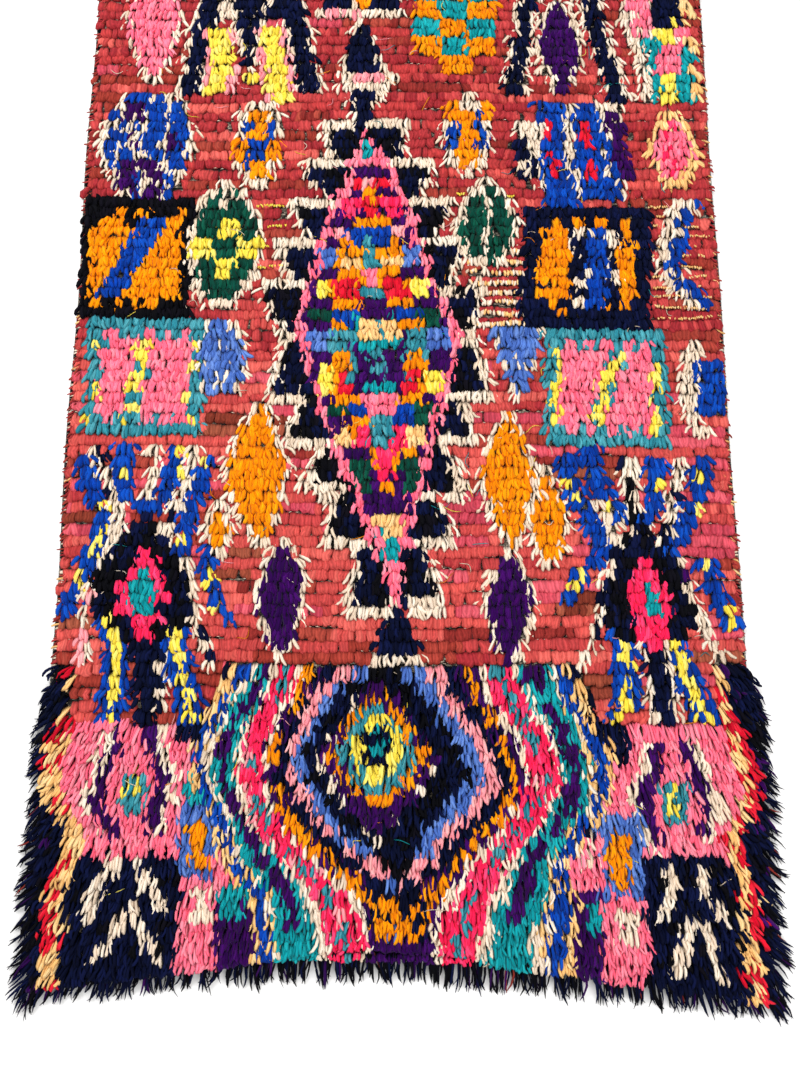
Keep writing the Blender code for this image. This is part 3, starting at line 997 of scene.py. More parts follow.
@dataclass(frozen=True)
class FieldFigures:
    """All the figures on the red field, from the far end to the panel."""

    mirror_y: float = 866.0

    def draw(self, chart: Chart) -> None:
        """Paints the figures in the order in which they overlap.

        Args:
            chart: the colour plan to knot into.
        """
        self.draw_far(chart)
        self.draw_second_row(chart)
        self.draw_squares(chart)
        self.draw_lozenges(chart)
        Medallion().draw(chart)
        LEFT_SPIDER.draw(chart)
        RIGHT_SPIDER.draw(chart)

    def draw_far(self, chart: Chart) -> None:
        """Paints the far spiders, the checks and the block; past the photo they are mirrored.

        Args:
            chart: the colour plan to knot into.
        """
        y = np.where(chart.y > self.mirror_y, 2 * self.mirror_y - chart.y, chart.y)
        far = Chart(chart.x, y, chart.dye, chart.chance)
        for stroke in legs(NAVY, OUTLINED, 17, IVORY, (
                ((-408, 866), (-420, 810), (-442, 700), (-458, 600)),
                ((-250, 866), (-236, 810), (-214, 700), (-200, 596)))):
            stroke.draw(far)
        far.boxes((-436, -216, 782, 870, NAVY), (-392, -366, 790, 870, IVORY),
                  (-300, -272, 800, 870, IVORY))
        far.wedges(((-330, 632), 800, -368, -292, IVORY),
                   ((-330, 646), 800, -356, -304, NAVY))
        far.boxes((-340, -312, 616, 642, YELLOW))
        for stroke in (
                *legs(YELLOW, OUTLINED, 22, PALE_PINK, (
                    ((-398, 762), (-396, 700), (-401, 596)),
                    ((-286, 756), (-276, 690), (-262, 588))), 9),
                *legs(NAVY, OUTLINED, 13, IVORY, (
                    ((292, 866), (278, 800), (266, 720), (240, 592)),
                    ((418, 866), (430, 800), (440, 720), (474, 572))), 10)):
            stroke.draw(far)
        beside = far.box(268, 440, 640, 866)
        far.fleck(beside & (far.dye <= LAST_FIELD_DYE), IVORY, 0.2)
        Lozenge(350, 842, 588, 54, PURPLE, rim=12, power=1.25).draw(far)
        columns = ((38, 93), (93, 151), (151, 206))
        for step, (low, high) in enumerate(((640, 688), (688, 733), (733, 780), (780, 826),
                                            (826, 872))):
            for number, (left, right) in enumerate(columns):
                if step == 0 and number != 1:
                    continue
                gold = (step + number) % 2 == 1
                far.put(far.box(left, right, low, high), GOLD if gold else TEAL)
        edge = np.interp(far.y, (575, 660, 820, 870), (540, 530, 506, 500))
        block = (far.x > edge) & (far.x < 634) & (far.y > 575)
        far.put((far.x > edge - 14) & (far.x < edge + 12) & (far.y > 572), IVORY)
        far.put(block & (far.x > edge + 16) & (far.y <= 728), TEAL)
        far.put(block & (far.y > 728), PINK)
        far.fleck(block & (far.y > 728), IVORY, 0.12)
        far.boxes((556, 616, 770, 870, NAVY), (562, 602, 728, 776, YELLOW),
                  (558, 612, 646, 708, PINK), (568, 602, 572, 642, YELLOW),
                  (622, 645, 575, 870, PEACH, 0.6))
        self.draw_crossbar(far)
        chart.dye = far.dye
        Lozenge(-542, 952, 618, 64, PINK, rim=10, power=1.15).draw(chart)

    def draw_crossbar(self, far: Chart) -> None:
        """Paints the foot of the next medallion, whose lozenge is finished plainly.

        Args:
            far: the far end's colour plan.
        """
        far.boxes((-179, 12, 789, 812, IVORY), (-159, -10, 789, 812, PALE_PINK, 0.4))
        far.put(far.wedge((-82, 690), 866, -175, 16) & (far.y > 812), IVORY)
        far.boxes((-163, -105, 812, 860, NAVY), (-58, 0, 812, 860, NAVY),
                  (-101, -62, 812, 870, GOLD))

    def draw_second_row(self, chart: Chart) -> None:
        """Paints the patch, the two cored lozenges, the striped block and the pink lozenge.

        Args:
            chart: the colour plan to knot into.
        """
        depth = np.interp(-chart.y, (-606, -560, -500, -460, -400, -350),
                          (45, 75, 100, 98, 68, 58))
        from_middle = np.abs(chart.x + 541)
        tall = (chart.y < 606) & (chart.y > 350)
        chart.put(tall & (from_middle < depth), IVORY)
        inner = tall & (from_middle < depth - 9)
        column = np.abs(((chart.x + 527) / 52 + 0.5) % 1 - 0.5) < 0.40
        chart.put(inner & column, BLUE)
        for left, right, low, high in ((-605, -555, 538, 584), (-585, -552, 466, 502),
                                       (-604, -566, 350, 442), (-546, -502, 350, 446),
                                       (-500, -468, 470, 508)):
            chart.put(inner & column & chart.box(left, right, low, high), PURPLE)
        chart.fleck(inner, IVORY, 0.1)
        for x, top, low, half in ((-302, 588, 374, 50), (147, 597, 404, 50)):
            middle, tall_half = (top + low) / 2, (top - low) / 2
            chart.put(chart.lozenge(x, middle, half, tall_half, 2.1), IVORY)
            core = chart.lozenge(x, middle - 4, half - 14, tall_half - 26, 2.1)
            off = np.abs(chart.x - x)
            chart.put(core, BLUE)
            chart.put(core & (off < 19) & (chart.y > middle + (8 if x < 0 else -30)), GOLD)
            chart.put(core & (chart.y < low + 58) & (off < 24), GOLD)
            if x < 0:
                chart.put((off > 20) & (off < 44) & (np.abs(chart.y - 460) < 22), GOLD)
            else:
                chart.put((off > 22) & (off < 42) & (np.abs(chart.y - 558) < 14), GOLD)
        chart.boxes((300, 474, 338, 574, IVORY), (256, 304, 392, 522, IVORY),
                    (256, 304, 392, 522, NAVY, 0.45))
        shift = (chart.y - 460) * 0.05
        for left, right, middle in ((308, 356, 326), (380, 430, 405)):
            bar = (chart.x + shift > left) & (chart.x + shift < right)
            bar &= (chart.y > 338) & (chart.y < 572)
            chart.put(bar, BLUE)
            flecked = bar & (chart.y > 392) & (chart.y < 532)
            chart.fleck(flecked & (np.abs(chart.x + shift - middle) < 10), RED, 0.85)
        chart.boxes((304, 374, 338, 392, BLUE), (396, 466, 338, 388, BLUE),
                    (434, 466, 392, 530, BLUE, 0.45))
        chart.lines(PURPLE, 12, ((458, 545), (470, 460), (486, 392)))
        Lozenge(588, 556, 362, 58, PINK, PEACH, rim=17, power=1.3).draw(chart)
        chart.fleck(chart.lozenge(588, 460, 30, 66, 1.3), HOT_PINK, 0.35)

    def draw_squares(self, chart: Chart) -> None:
        """Paints the four squares, the green and periwinkle lozenges and the two chevrons.

        Args:
            chart: the colour plan to knot into.
        """
        Square(-672, -437, 82, 345, BLACK, GOLD, SquareStyle.SLANT,
               slant_top=-522, slant_low=-602, stripe_half=26, teeth=5,
               border_side=20, border_end=28).draw(chart)
        Square(258, 518, 62, 326, NAVY, GOLD, SquareStyle.BARS, teeth=4,
               border_side=32, border_end=29).draw(chart)
        Square(-636, -408, -182, 70, DUSTY_TEAL, PINK, SquareStyle.SLANT,
               slant_top=-518, slant_low=-553, stripe_half=17, yellow_sides=True, teeth=5,
               border_side=19, border_end=24).draw(chart)
        Square(301, 537, -203, 52, DUSTY_TEAL, PINK, SquareStyle.SLANT,
               slant_top=446, slant_low=390, stripe_half=18, yellow_sides=True, teeth=5,
               border_side=19, border_end=25).draw(chart)
        Lozenge(-369, 386, 100, 80, GREEN, power=1.8).draw(chart)
        chart.boxes((-391, -343, 252, 300, YELLOW), (-439, -395, 219, 253, YELLOW),
                    (-341, -297, 219, 253, YELLOW), (-389, -351, 166, 214, YELLOW),
                    (-379, -365, 314, 362, IVORY))
        Lozenge(181, 390, 182, 66, GREEN, rim=13, power=1.7).draw(chart)
        chart.boxes((174, 187, 200, 375, IVORY))
        bow = ((600, 346), (566, 292), (556, 240), (548, 200), (574, 146), (608, 104))
        beside = chart.stripe([(x + 22, y) for x, y in bow], 15)
        chart.put(beside, BLUE)
        chart.fleck(beside, IVORY, 0.16)
        chart.lines(IVORY, 13, bow)
        bow = ((608, 25), (588, -25), (582, -83), (590, -134), (618, -180))
        chart.lines(BLUE, 30, [(x + 40, y) for x, y in bow[1:4]])
        chart.lines(IVORY, 13, bow)
        Lozenge(-368, 79, -97, 48, PERIWINKLE, rim=9, power=2.4).draw(chart)
        chart.fleck(chart.lozenge(-368, -9, 38, 66, 2.4), IVORY, 0.22)
        chart.wedges(((240, -112), 64, 186, 296, IVORY),
                     ((240, -96), 54, 194, 288, PERIWINKLE))
        chart.boxes((226, 246, -40, 34, IVORY, 0.6))

    def draw_lozenges(self, chart: Chart) -> None:
        """Paints the gold and purple lozenges of the lower field.

        Args:
            chart: the colour plan to knot into.
        """
        for x, top, low, half, dye in (
                (-284, -99, -411, 64, GOLD), (-361, -305, -434, 30, GOLD),
                (216, -116, -411, 58, GOLD), (291, -244, -454, 45, GOLD),
                (-231, -378, -630, 52, PURPLE), (213, -396, -646, 52, PURPLE)):
            Lozenge(x, top, low, half, dye, rim=12, power=1.25).draw(chart)


@dataclass
class Strands:
    """A batch of rag strands of one form, each a tapered closed tube along its own line."""

    centre: Array
    half: Array
    height: Array
    dye: Array
    band: Array
    roll: Array
    section: Array

    def surface(self) -> Array:
        """Sweeps the section along every line.

        Returns:
            Points for each strand, ring and corner of the section.
        """
        along = np.gradient(self.centre, axis=1)
        along /= np.linalg.norm(along, axis=-1, keepdims=True) + 1e-9
        side = np.stack([along[..., 1], -along[..., 0], np.zeros(along.shape[:2])], -1)
        side /= np.linalg.norm(side, axis=-1, keepdims=True) + 1e-9
        lift = np.cross(side, along)
        turn, tilt = np.cos(self.roll)[:, None, None], np.sin(self.roll)[:, None, None]
        across, up = turn * side + tilt * lift, turn * lift - tilt * side
        wide = self.half[:, :, None, None] * self.section[None, None, :, :1]
        tall = self.height[:, :, None, None] * self.section[None, None, :, 1:]
        points = self.centre[:, :, None] + wide * across[:, :, None] + tall * up[:, :, None]
        points[..., 2] = np.maximum(points[..., 2], 0.0003)
        return points


ROUND_SECTION = np.array([[-1.0, 0.0], [0.0, 1.0], [1.0, 0.0]])
PUFFED_SECTION = np.array([[-1.0, 0.0], [-0.62, 1.0], [0.58, 1.0], [1.0, 0.0]])


def mesh_object(name: str, points: Array, faces: list[Array], maps: list[Array]) -> Piece:
    """Makes a smooth mesh from arrays.

    Args:
        name: the piece's name.
        points: corner places, three numbers each.
        faces: arrays of faces, each array with one number of corners.
        maps: the map's places for the corners of each array of faces.

    Returns:
        The new object, linked to the scene.
    """
    mesh = bpy.data.meshes.new(name)
    mesh.vertices.add(len(points))
    mesh.vertices.foreach_set("co", points.astype(np.float32).ravel())
    corners = np.concatenate([f.ravel() for f in faces])
    sizes = np.concatenate([np.full(len(f), f.shape[1]) for f in faces])
    mesh.loops.add(len(corners))
    mesh.loops.foreach_set("vertex_index", corners.astype(np.int32))
    mesh.polygons.add(len(sizes))
    starts = np.concatenate([[0], np.cumsum(sizes)[:-1]])
    mesh.polygons.foreach_set("loop_start", starts.astype(np.int32))
    mesh.polygons.foreach_set("use_smooth", np.ones(len(sizes), bool))
    mesh.update(calc_edges=True)
    layer = mesh.uv_layers.new(name=UV_NAME)
    spots = np.concatenate([m.reshape(-1, 2) for m in maps])
    layer.data.foreach_set("uv", spots.astype(np.float32).ravel())
    made = bpy.data.objects.new(name, mesh)
    bpy.context.scene.collection.objects.link(made)
    return made


class Pile:
    """All the strands laid so far, sorted into one mesh for each dye when they are built."""

    def __init__(self) -> None:
        """Starts with no strands."""
        self.batches: list[Strands] = []

    def lay(self, batch: Strands) -> None:
        """Adds a batch of strands."""
        if len(batch.dye):
            self.batches.append(batch)

    def build(self, prefix: str) -> dict[Dye, Piece]:
        """Builds one piece for each dye that was laid.

        Args:
            prefix: the first word of each piece's name.

        Returns:
            The pieces by dye.
        """
        pieces: dict[Dye, Piece] = {}
        for dye in Dye:
            points, faces, maps, count = [], {3: [], 4: []}, {3: [], 4: []}, 0
            for batch in self.batches:
                chosen = batch.dye == int(dye)
                if not chosen.any():
                    continue
                part = Strands(*(getattr(batch, name)[chosen] for name in
                                 ("centre", "half", "height", "dye", "band", "roll")),
                               batch.section)
                self.weave(part, count, points, faces, maps)
                count += part.centre.shape[0] * part.centre.shape[1] * len(part.section)
            if not points:
                continue
            sizes = [n for n in (3, 4) if faces[n]]
            made = mesh_object(f"{prefix}_{dye.name.lower()}", np.concatenate(points),
                               [np.concatenate(faces[n]) for n in sizes],
                               [np.concatenate(maps[n]) for n in sizes])
            pieces[dye] = made
        return pieces

    def weave(self, part: Strands, offset: int, points: list[Array],
              faces: dict[int, list[Array]], maps: dict[int, list[Array]]) -> None:
        """Turns one batch of one dye into points, faces and map places.

        Args:
            part: the strands.
            offset: how many points stand before these.
            points: gets the points.
            faces: gets the faces by number of corners.
            maps: gets the map places that match the faces.
        """
        count, rings = part.centre.shape[:2]
        corners = len(part.section)
        points.append(part.surface().reshape(-1, 3))
        start = (np.arange(count) * rings * corners + offset)[:, None, None]
        ring = (np.arange(rings - 1) * corners)[None, :, None]
        here = np.arange(corners)[None, None, :]
        after = (here + 1) % corners
        first, second = start + ring + here, start + ring + after
        quads = np.stack([first, second, second + corners, first + corners], -1)
        faces[4].append(quads.reshape(-1, 4))
        shape = quads.shape[:3]
        left = 0.05 + 0.9 * here / corners
        right = 0.05 + 0.9 * (here + 1) / corners
        band = part.band[:, None, None]
        u0 = np.broadcast_to((band + left) / BANDS, shape)
        u1 = np.broadcast_to((band + right) / BANDS, shape)
        low = np.broadcast_to(0.02 + 0.96 * np.arange(rings - 1)[None, :, None] / (rings - 1),
                              shape)
        high = low + 0.96 / (rings - 1)
        spots = np.stack([np.stack([u0, low], -1), np.stack([u1, low], -1),
                          np.stack([u1, high], -1), np.stack([u0, high], -1)], -2)
        maps[4].append(spots.reshape(-1, 4, 2))
        root = (start[:, :, 0] + np.arange(corners)[::-1][None, :])
        tip = (start[:, :, 0] + (rings - 1) * corners + np.arange(corners)[None, :])
        bulge = np.where(np.arange(corners) % (corners - 1) == 0, 0.0, 0.03)
        for cap, order, level, sign in ((root, slice(None, None, -1), 0.02, 1),
                                        (tip, slice(None), 0.97, -1)):
            turn = np.arange(corners)[order][None, :] / corners
            u = (part.band[:, None] + 0.05 + 0.9 * turn) / BANDS
            v = np.broadcast_to(level + sign * bulge[order][None, :], u.shape)
            faces[corners].append(cap)
            maps[corners].append(np.stack([u, v], -1))


def edge_x(y: Array, side: int) -> Array:
    """Gives the rug's side edge, which wanders a little.

    Args:
        y: places along the rug.
        side: -1 for the left edge and 1 for the right one.

    Returns:
        The edge's x at each place.
    """
    wander = EDGE_WANDER * np.sin(TURN * (y - PLAN_SHIFT_Y) / EDGE_WAVE)
    half = HALF_WIDTH - (LEFT_TUCK if side < 0 else RIGHT_TUCK)
    return PLAN_SHIFT_X + side * half + wander * (1 if side < 0 else RIGHT_WANDER)


def end_y(x: Array) -> Array:
    """Gives the near edge, which hangs lower towards both corners."""
    drop = np.where(x < 0, END_DROP_LEFT, END_DROP_RIGHT)
    return END_MIDDLE_Y - drop * (x / HALF_WIDTH) ** 2


def row_y(row: Array, x: Array) -> Array:
    """Gives where a row of knots starts at each place across, with the rows' slow bow."""
    level = FIRST_ROW_Y - row * ROW_PITCH
    return level + ROW_BOW * np.sin(TURN * (x + ROW_DRIFT * level) / ROW_WAVE)


def smooth(value: Array, low: float, high: float) -> Array:
    """Rises smoothly from 0 at low to 1 at high."""
    share = np.clip((value - low) / (high - low), 0, 1)
    return share * share * (3 - 2 * share)


def on_side_field(x: Array, y: Array) -> Array:
    """Tells where the red field runs on beside the panel's eye, inside the peach border.

    Args:
        x: places across the rug.
        y: places along the rug.

    Returns:
        A mask of the places.
    """
    reach = np.abs(x - 0.004)
    inner = 0.338 + 0.42 * (-0.645 - y)
    outer = np.where(x < 0, 0.618, 0.598) + 0.1 * (-0.645 - y)
    return (y > -0.735) & (reach > inner) & (np.abs(x) < outer)


def bend(root: Array, heading: Array, length: Array, rings: Array, curl: Array,
         profile: Array) -> Array:
    """Lays lines from their roots.

    Args:
        root: x and y of each root.
        heading: each line's direction in the plan, in radians from straight down the rug.
        length: each line's length in the plan.
        rings: shares of the length where the rings lie.
        curl: how far each line swings sideways.
        profile: height of each ring above the floor.

    Returns:
        The rings' middles for each line.
    """
    along = np.stack([np.sin(heading), -np.cos(heading)], -1)
    beside = np.stack([np.cos(heading), np.sin(heading)], -1)
    swing = curl[:, None] * np.sin(rings * math.pi * 1.15)[None, :] * rings[None, :]
    plan = (root[:, None] + along[:, None] * (length[:, None] * rings[None, :])[..., None]
            + beside[:, None] * swing[..., None])
    return np.concatenate([plan, profile[..., None]], -1)


@dataclass(frozen=True)
class StrandForm:
    """One way of cutting and laying a rag: its outline, its thickness and how it rises."""

    rings: Numbers
    broad: Numbers
    thick: Numbers
    level: Numbers
    puffed: bool = False

    def lay(self, knots: "Knots", heading: Size, length: Size, half: Size, tall: Size,
            rise: Size, curl: Size = 0.0, roll: Size = 0.0) -> Strands:
        """Lays one strand at each knot, with each size the same for all or given for each.

        Args:
            knots: where the strands are tied, with their dyes and shades.
            heading: direction, in radians from straight down the rug.
            length: length in the plan.
            half: half of the greatest width.
            tall: greatest thickness.
            rise: how far the middle line climbs.
            curl: how far it swings sideways.
            roll: how far it is turned about its own line.

        Returns:
            The strands, ready for the pile.
        """
        heading, length, half, tall, rise, curl, roll = (
            np.broadcast_to(size, len(knots.dye))
            for size in (heading, length, half, tall, rise, curl, roll))
        level = knots.base[:, None] + np.outer(rise, self.level)
        centre = bend(knots.root, heading, length, np.array(self.rings), curl, level)
        return Strands(centre, np.outer(half, self.broad), np.outer(tall, self.thick), knots.dye,
                       knots.band, roll, PUFFED_SECTION if self.puffed else ROUND_SECTION)


PILLOW = StrandForm((0, 0.22, 0.58, 0.88, 1), (0.9, 1, 1.04, 0.98, 0.5),
                    (0.36, 0.62, 0.9, 1, 0.5), (0, 0, 0, 0, 0), puffed=True)
PETAL = StrandForm((0, 0.3, 0.62, 0.88, 1), (0.9, 1.02, 1.08, 0.9, 0.34),
                   (0.9, 1, 1, 0.8, 0.3), (0.3, 0.74, 0.98, 1, 0.8))
NOODLE = StrandForm((0, 0.18, 0.4, 0.63, 0.85, 1), (0.85, 1, 1.08, 1.1, 1.02, 0.62),
                    (0.9, 1, 1.05, 1, 0.95, 0.5), (0.2, 0.46, 0.74, 0.93, 1, 0.88))
LOCK = StrandForm((0, 0.25, 0.55, 0.82, 1), (0.9, 1, 0.95, 0.7, 0.2), (0.9, 1, 0.9, 0.6, 0.2),
                  (0.72, 1, 0.86, 0.5, 0.18))
DASH = StrandForm((0, 0.5, 1), (0.35, 1, 0.35), (0.35, 1, 0.35), (-0.8, 0, -0.8))
WRAP = StrandForm((0, 0.4, 0.8, 1), (0.8, 1, 1, 0.4), (0.8, 1, 0.9, 0.4), (0.72, 1, 0.55, 0))
THREAD = StrandForm(tuple(i / 7 for i in range(8)), (0.6, 1, 1, 1, 1, 1, 0.8, 0.3),
                    (0.6, 1, 1, 1, 1, 1, 0.8, 0.3), (0, 0.6, 1, 0.8, 1, 0.7, 0.9, 0.1))


@dataclass
class Knots:
    """Where a batch of strands is tied in: place, height above the floor, dye and shade."""

    root: Array
    base: Array
    dye: Array
    band: Array

    def pick(self, chosen: Array) -> "Knots":
        """Keeps some of the knots."""
        return Knots(self.root[chosen], self.base[chosen], self.dye[chosen], self.band[chosen])

    def moved(self, x: Array, y: Array) -> "Knots":
        """Moves the knots in the plan."""
        return Knots(self.root + np.stack([x, y], -1), self.base, self.dye, self.band)


@dataclass
class Layer:
    """Something that is knotted in: the pile that it joins, and its random numbers."""

    pile: Pile
    rng: Random

    def noise(self, size: float, count: int) -> Array:
        """Draws normal random numbers, cut off at twice their spread."""
        return np.clip(self.rng.normal(0, size, count), -2 * size, 2 * size)

    def tie(self, x: Array, y: Array, base: Size, dye: Array) -> Knots:
        """Ties in one knot of a random shade at each place."""
        return Knots(np.stack([x, y], -1), np.broadcast_to(base, len(x)), dye,
                     self.rng.integers(0, BANDS, len(x)))


def weft_shows(row: Array, x: Array) -> Array:
    """Tells where a row is beaten down short of the next, so that the weft shows below it.

    Args:
        row: the knots' rows.
        x: places across the rug.

    Returns:
        0 where the row is full and up to 1 where the weft shows.
    """
    wave = (np.sin(x * TURN / 0.31 + row * 2.4) + 0.8 * np.sin(x * TURN / 0.13
            + row * 4.7) + 0.6 * np.sin(row * 1.3 + 0.4))
    return smooth(wave, 0.75, 1.4)


def row_wave(row: Array, x: Array) -> Array:
    """Gives how far a row strays from its level, as it was beaten down by hand."""
    return (0.0020 * np.sin(x * TURN / 0.19 + row * 1.7)
            + 0.0012 * np.sin(x * TURN / 0.083 + row * 2.9))


def combed(x: Array, y: Array) -> Array:
    """Tells where short ivory combs alternate with the red rows, beside the second square."""
    return (y > 0.052) & (y < 0.248) & (x > 0.140) & (x < 0.266)


@dataclass
class FieldPile(Layer):
    """The short pile: rows of red pillows, and soft tufts where a figure is knotted."""

    rows: int = 87
    full_rows: int = LAST_ROW
    far_pitch: float = 0.0113
    near_pitch: float = 0.0108
    side_inset: float = 0.008
    # A knot's colour shows this far below its root, so its figure is read there.
    shown: float = 0.012
    panel_lift: float = 0.005
    pillow_rise: float = 0.0100
    pillow_length: float = 0.0256
    weft_gap: float = 0.0048
    comb_length: float = 0.0125
    fold_length: float = 0.034
    petal_gap: float = 0.0033
    petal_length: float = 0.0272
    petal_half: float = 0.0049
    petal_rise: float = 0.0086
    field_dyes: tuple[Dye, ...] = (CRIMSON, CORAL, ROSE, RUST, BROWN)
    far_weights: Numbers = (0.62, 0.12, 0.02, 0.24, 0.0)
    near_weights: Numbers = (0.08, 0.46, 0.34, 0.10, 0.02)
    low_weights: Numbers = (0.06, 0.52, 0.18, 0.16, 0.08)

    def pitch(self, near: Size) -> Size:
        """Gives the knots' spacing: 0 is the far half and 1 the near half."""
        return self.far_pitch * (1 - near) + self.near_pitch * near

    def ground(self, row: Array, x: Array) -> tuple[Array, Array]:
        """Picks a red and a shade for every knot: each row changes rag a few times.

        Args:
            row: the knots' rows.
            x: the knots' places across.

        Returns:
            A red and a shade for each knot.
        """
        reds, shades = np.zeros(len(x), int), np.zeros(len(x), int)
        far, close, lowest = map(np.array, (self.far_weights, self.near_weights, self.low_weights))
        for number in range(self.rows):
            down = np.array(number * ROW_PITCH - FIRST_ROW_Y)
            near, low = float(smooth(down, -0.12, 0.08)), float(smooth(down, 0.40, 0.50))
            weights = far * (1 - near) + near * (close * (1 - low) + lowest * low)
            cuts = np.cumsum(self.rng.uniform(0.05, 0.30, 16)) - 0.75
            dyes = self.rng.choice(self.field_dyes, 17, p=weights / weights.sum())
            mine = row == number
            stretch = np.searchsorted(cuts, x[mine])
            reds[mine] = dyes[stretch]
            shades[mine] = self.rng.integers(0, BANDS, 17)[stretch]
        return reds, shades

    def places(self) -> tuple[Array, Array]:
        """Spaces knots along every row.

        Returns:
            Row and x of each knot.
        """
        rows, places = [], []
        for row in range(self.rows):
            y = np.array(FIRST_ROW_Y - row * ROW_PITCH)
            left = float(edge_x(y, -1)) + self.side_inset
            right = float(edge_x(y, 1)) - self.side_inset
            count = int((right - left) / self.pitch(float(smooth(-y, -0.12, 0.06))))
            x = left + (np.arange(count) + 0.5) * (right - left) / count
            if row >= self.full_rows:
                x = x[on_side_field(x, np.full(count, float(y) - self.side_inset))]
            rows.append(np.full(len(x), row))
            places.append(x)
        return np.concatenate(rows), np.concatenate(places)

    def lay(self) -> None:
        """Lays every row of the field."""
        row, x = self.places()
        count = len(x)
        x = x + self.noise(0.0006, count)
        reds, shades = self.ground(row, x)
        ragged = 0.003 * np.sin(row * 12.9898) + 0.002 * np.sin(x / 0.007 + row * 5.3)
        y = row_y(row, x) + row_wave(row, x)
        chart = Chart((x + ragged) / MM, (y - self.shown) / MM, reds, self.rng.random(count))
        FieldFigures().draw(chart)
        figure = chart.dye > LAST_FIELD_DYE
        band = np.where(figure, self.rng.integers(0, BANDS, count),
                        (shades + self.rng.integers(0, 2, count)) % BANDS)
        knots = Knots(np.stack([x, y], -1), np.full(count, KNOT_HEIGHT), chart.dye, band)
        raised = (row >= self.full_rows) * self.panel_lift
        self.lay_pillows(knots.pick(~figure), row[~figure], raised[~figure])
        self.lay_figures(knots, row, raised, figure)

    def lay_pillows(self, knots: Knots, row: Array, raised: Array) -> None:
        """Lays the red rows: soft folds that overlap so far that a row reads as one ruffle.

        Args:
            knots: the red knots.
            row: their rows.
            raised: how much higher each stands than the rest.
        """
        count, x, y = len(row), knots.root[:, 0], knots.root[:, 1]
        near = smooth(-y, -0.12, 0.06)
        fold = np.sin(x * TURN / self.fold_length + row * 2.2)
        lean = self.noise(0.15, count) + 0.16 * fold * (1 - near)
        length = (self.pillow_length - self.weft_gap * weft_shows(row, x)
                  + self.noise(0.0014, count))
        length = np.where(combed(x, y - 0.010), self.comb_length, length)
        rim = 0.7 + 0.3 * smooth(0.668 - np.abs(x), 0.0, 0.02)
        tall = (self.pillow_rise * (1 + 0.10 * fold + self.noise(0.11, count)) + raised) * rim
        half = self.pitch(near) * (0.84 + self.noise(0.16, count) * (1 - 0.5 * near))
        slide = self.noise(0.0024, count) * (1 - 0.5 * near)
        self.pile.lay(PILLOW.lay(knots.moved(slide, self.noise(0.0008, count)), lean, length, half,
                                 tall, 0.0, self.noise(0.0038, count), self.noise(0.34, count)))

    def lay_figures(self, knots: Knots, row: Array, raised: Array, chosen: Array) -> None:
        """Lays the figures: each knot ends in three soft folds that fan out to a point.

        Args:
            knots: all the field's knots.
            row: the knots' rows.
            raised: how much higher each knot stands than the rest.
            chosen: the knots that belong to a figure.
        """
        same_row = np.diff(row) == 0
        red = knots.dye <= LAST_FIELD_DYE
        left_open = np.concatenate([[False], same_row & red[:-1]])
        right_open = np.concatenate([same_row & red[1:], [False]])
        changes = np.concatenate([[False], same_row & (np.diff(knots.dye) != 0)])
        edge = (changes | np.concatenate([changes[1:], [False]]))[chosen]
        outward = (right_open.astype(float) - left_open.astype(float))[chosen]
        knots, raised, count = knots.pick(chosen), raised[chosen], len(edge)
        pale = knots.dye == IVORY
        dark = (knots.dye == NAVY) | (knots.dye == BLACK)
        lean = self.noise(0.16, count) + 0.14 * outward
        for seat in (-1, 0, 1):
            sub = knots.moved(seat * self.petal_gap + self.noise(0.0010, count),
                              self.noise(0.0026, count))
            sub.band = (sub.band + self.rng.integers(0, 3, count)) % BANDS
            heading = (lean + seat * 0.13 + self.noise(0.16, count) * np.where(pale, 1.2, 1.0)
                       + 0.16 * outward * (seat == outward))
            reach = self.petal_length + self.noise(0.0026, count) + 0.0018 * edge
            wide = self.petal_half - 0.0012 * pale + 0.0004 * dark
            wide = wide * (1 + self.noise(0.16, count))
            climb = self.petal_rise + self.noise(0.0015, count) + 0.0012 * (seat == 0) + raised
            self.pile.lay(PETAL.lay(sub, heading, reach, wide, wide * 0.95, climb,
                                    self.noise(0.0036, count), self.noise(0.45, count)))


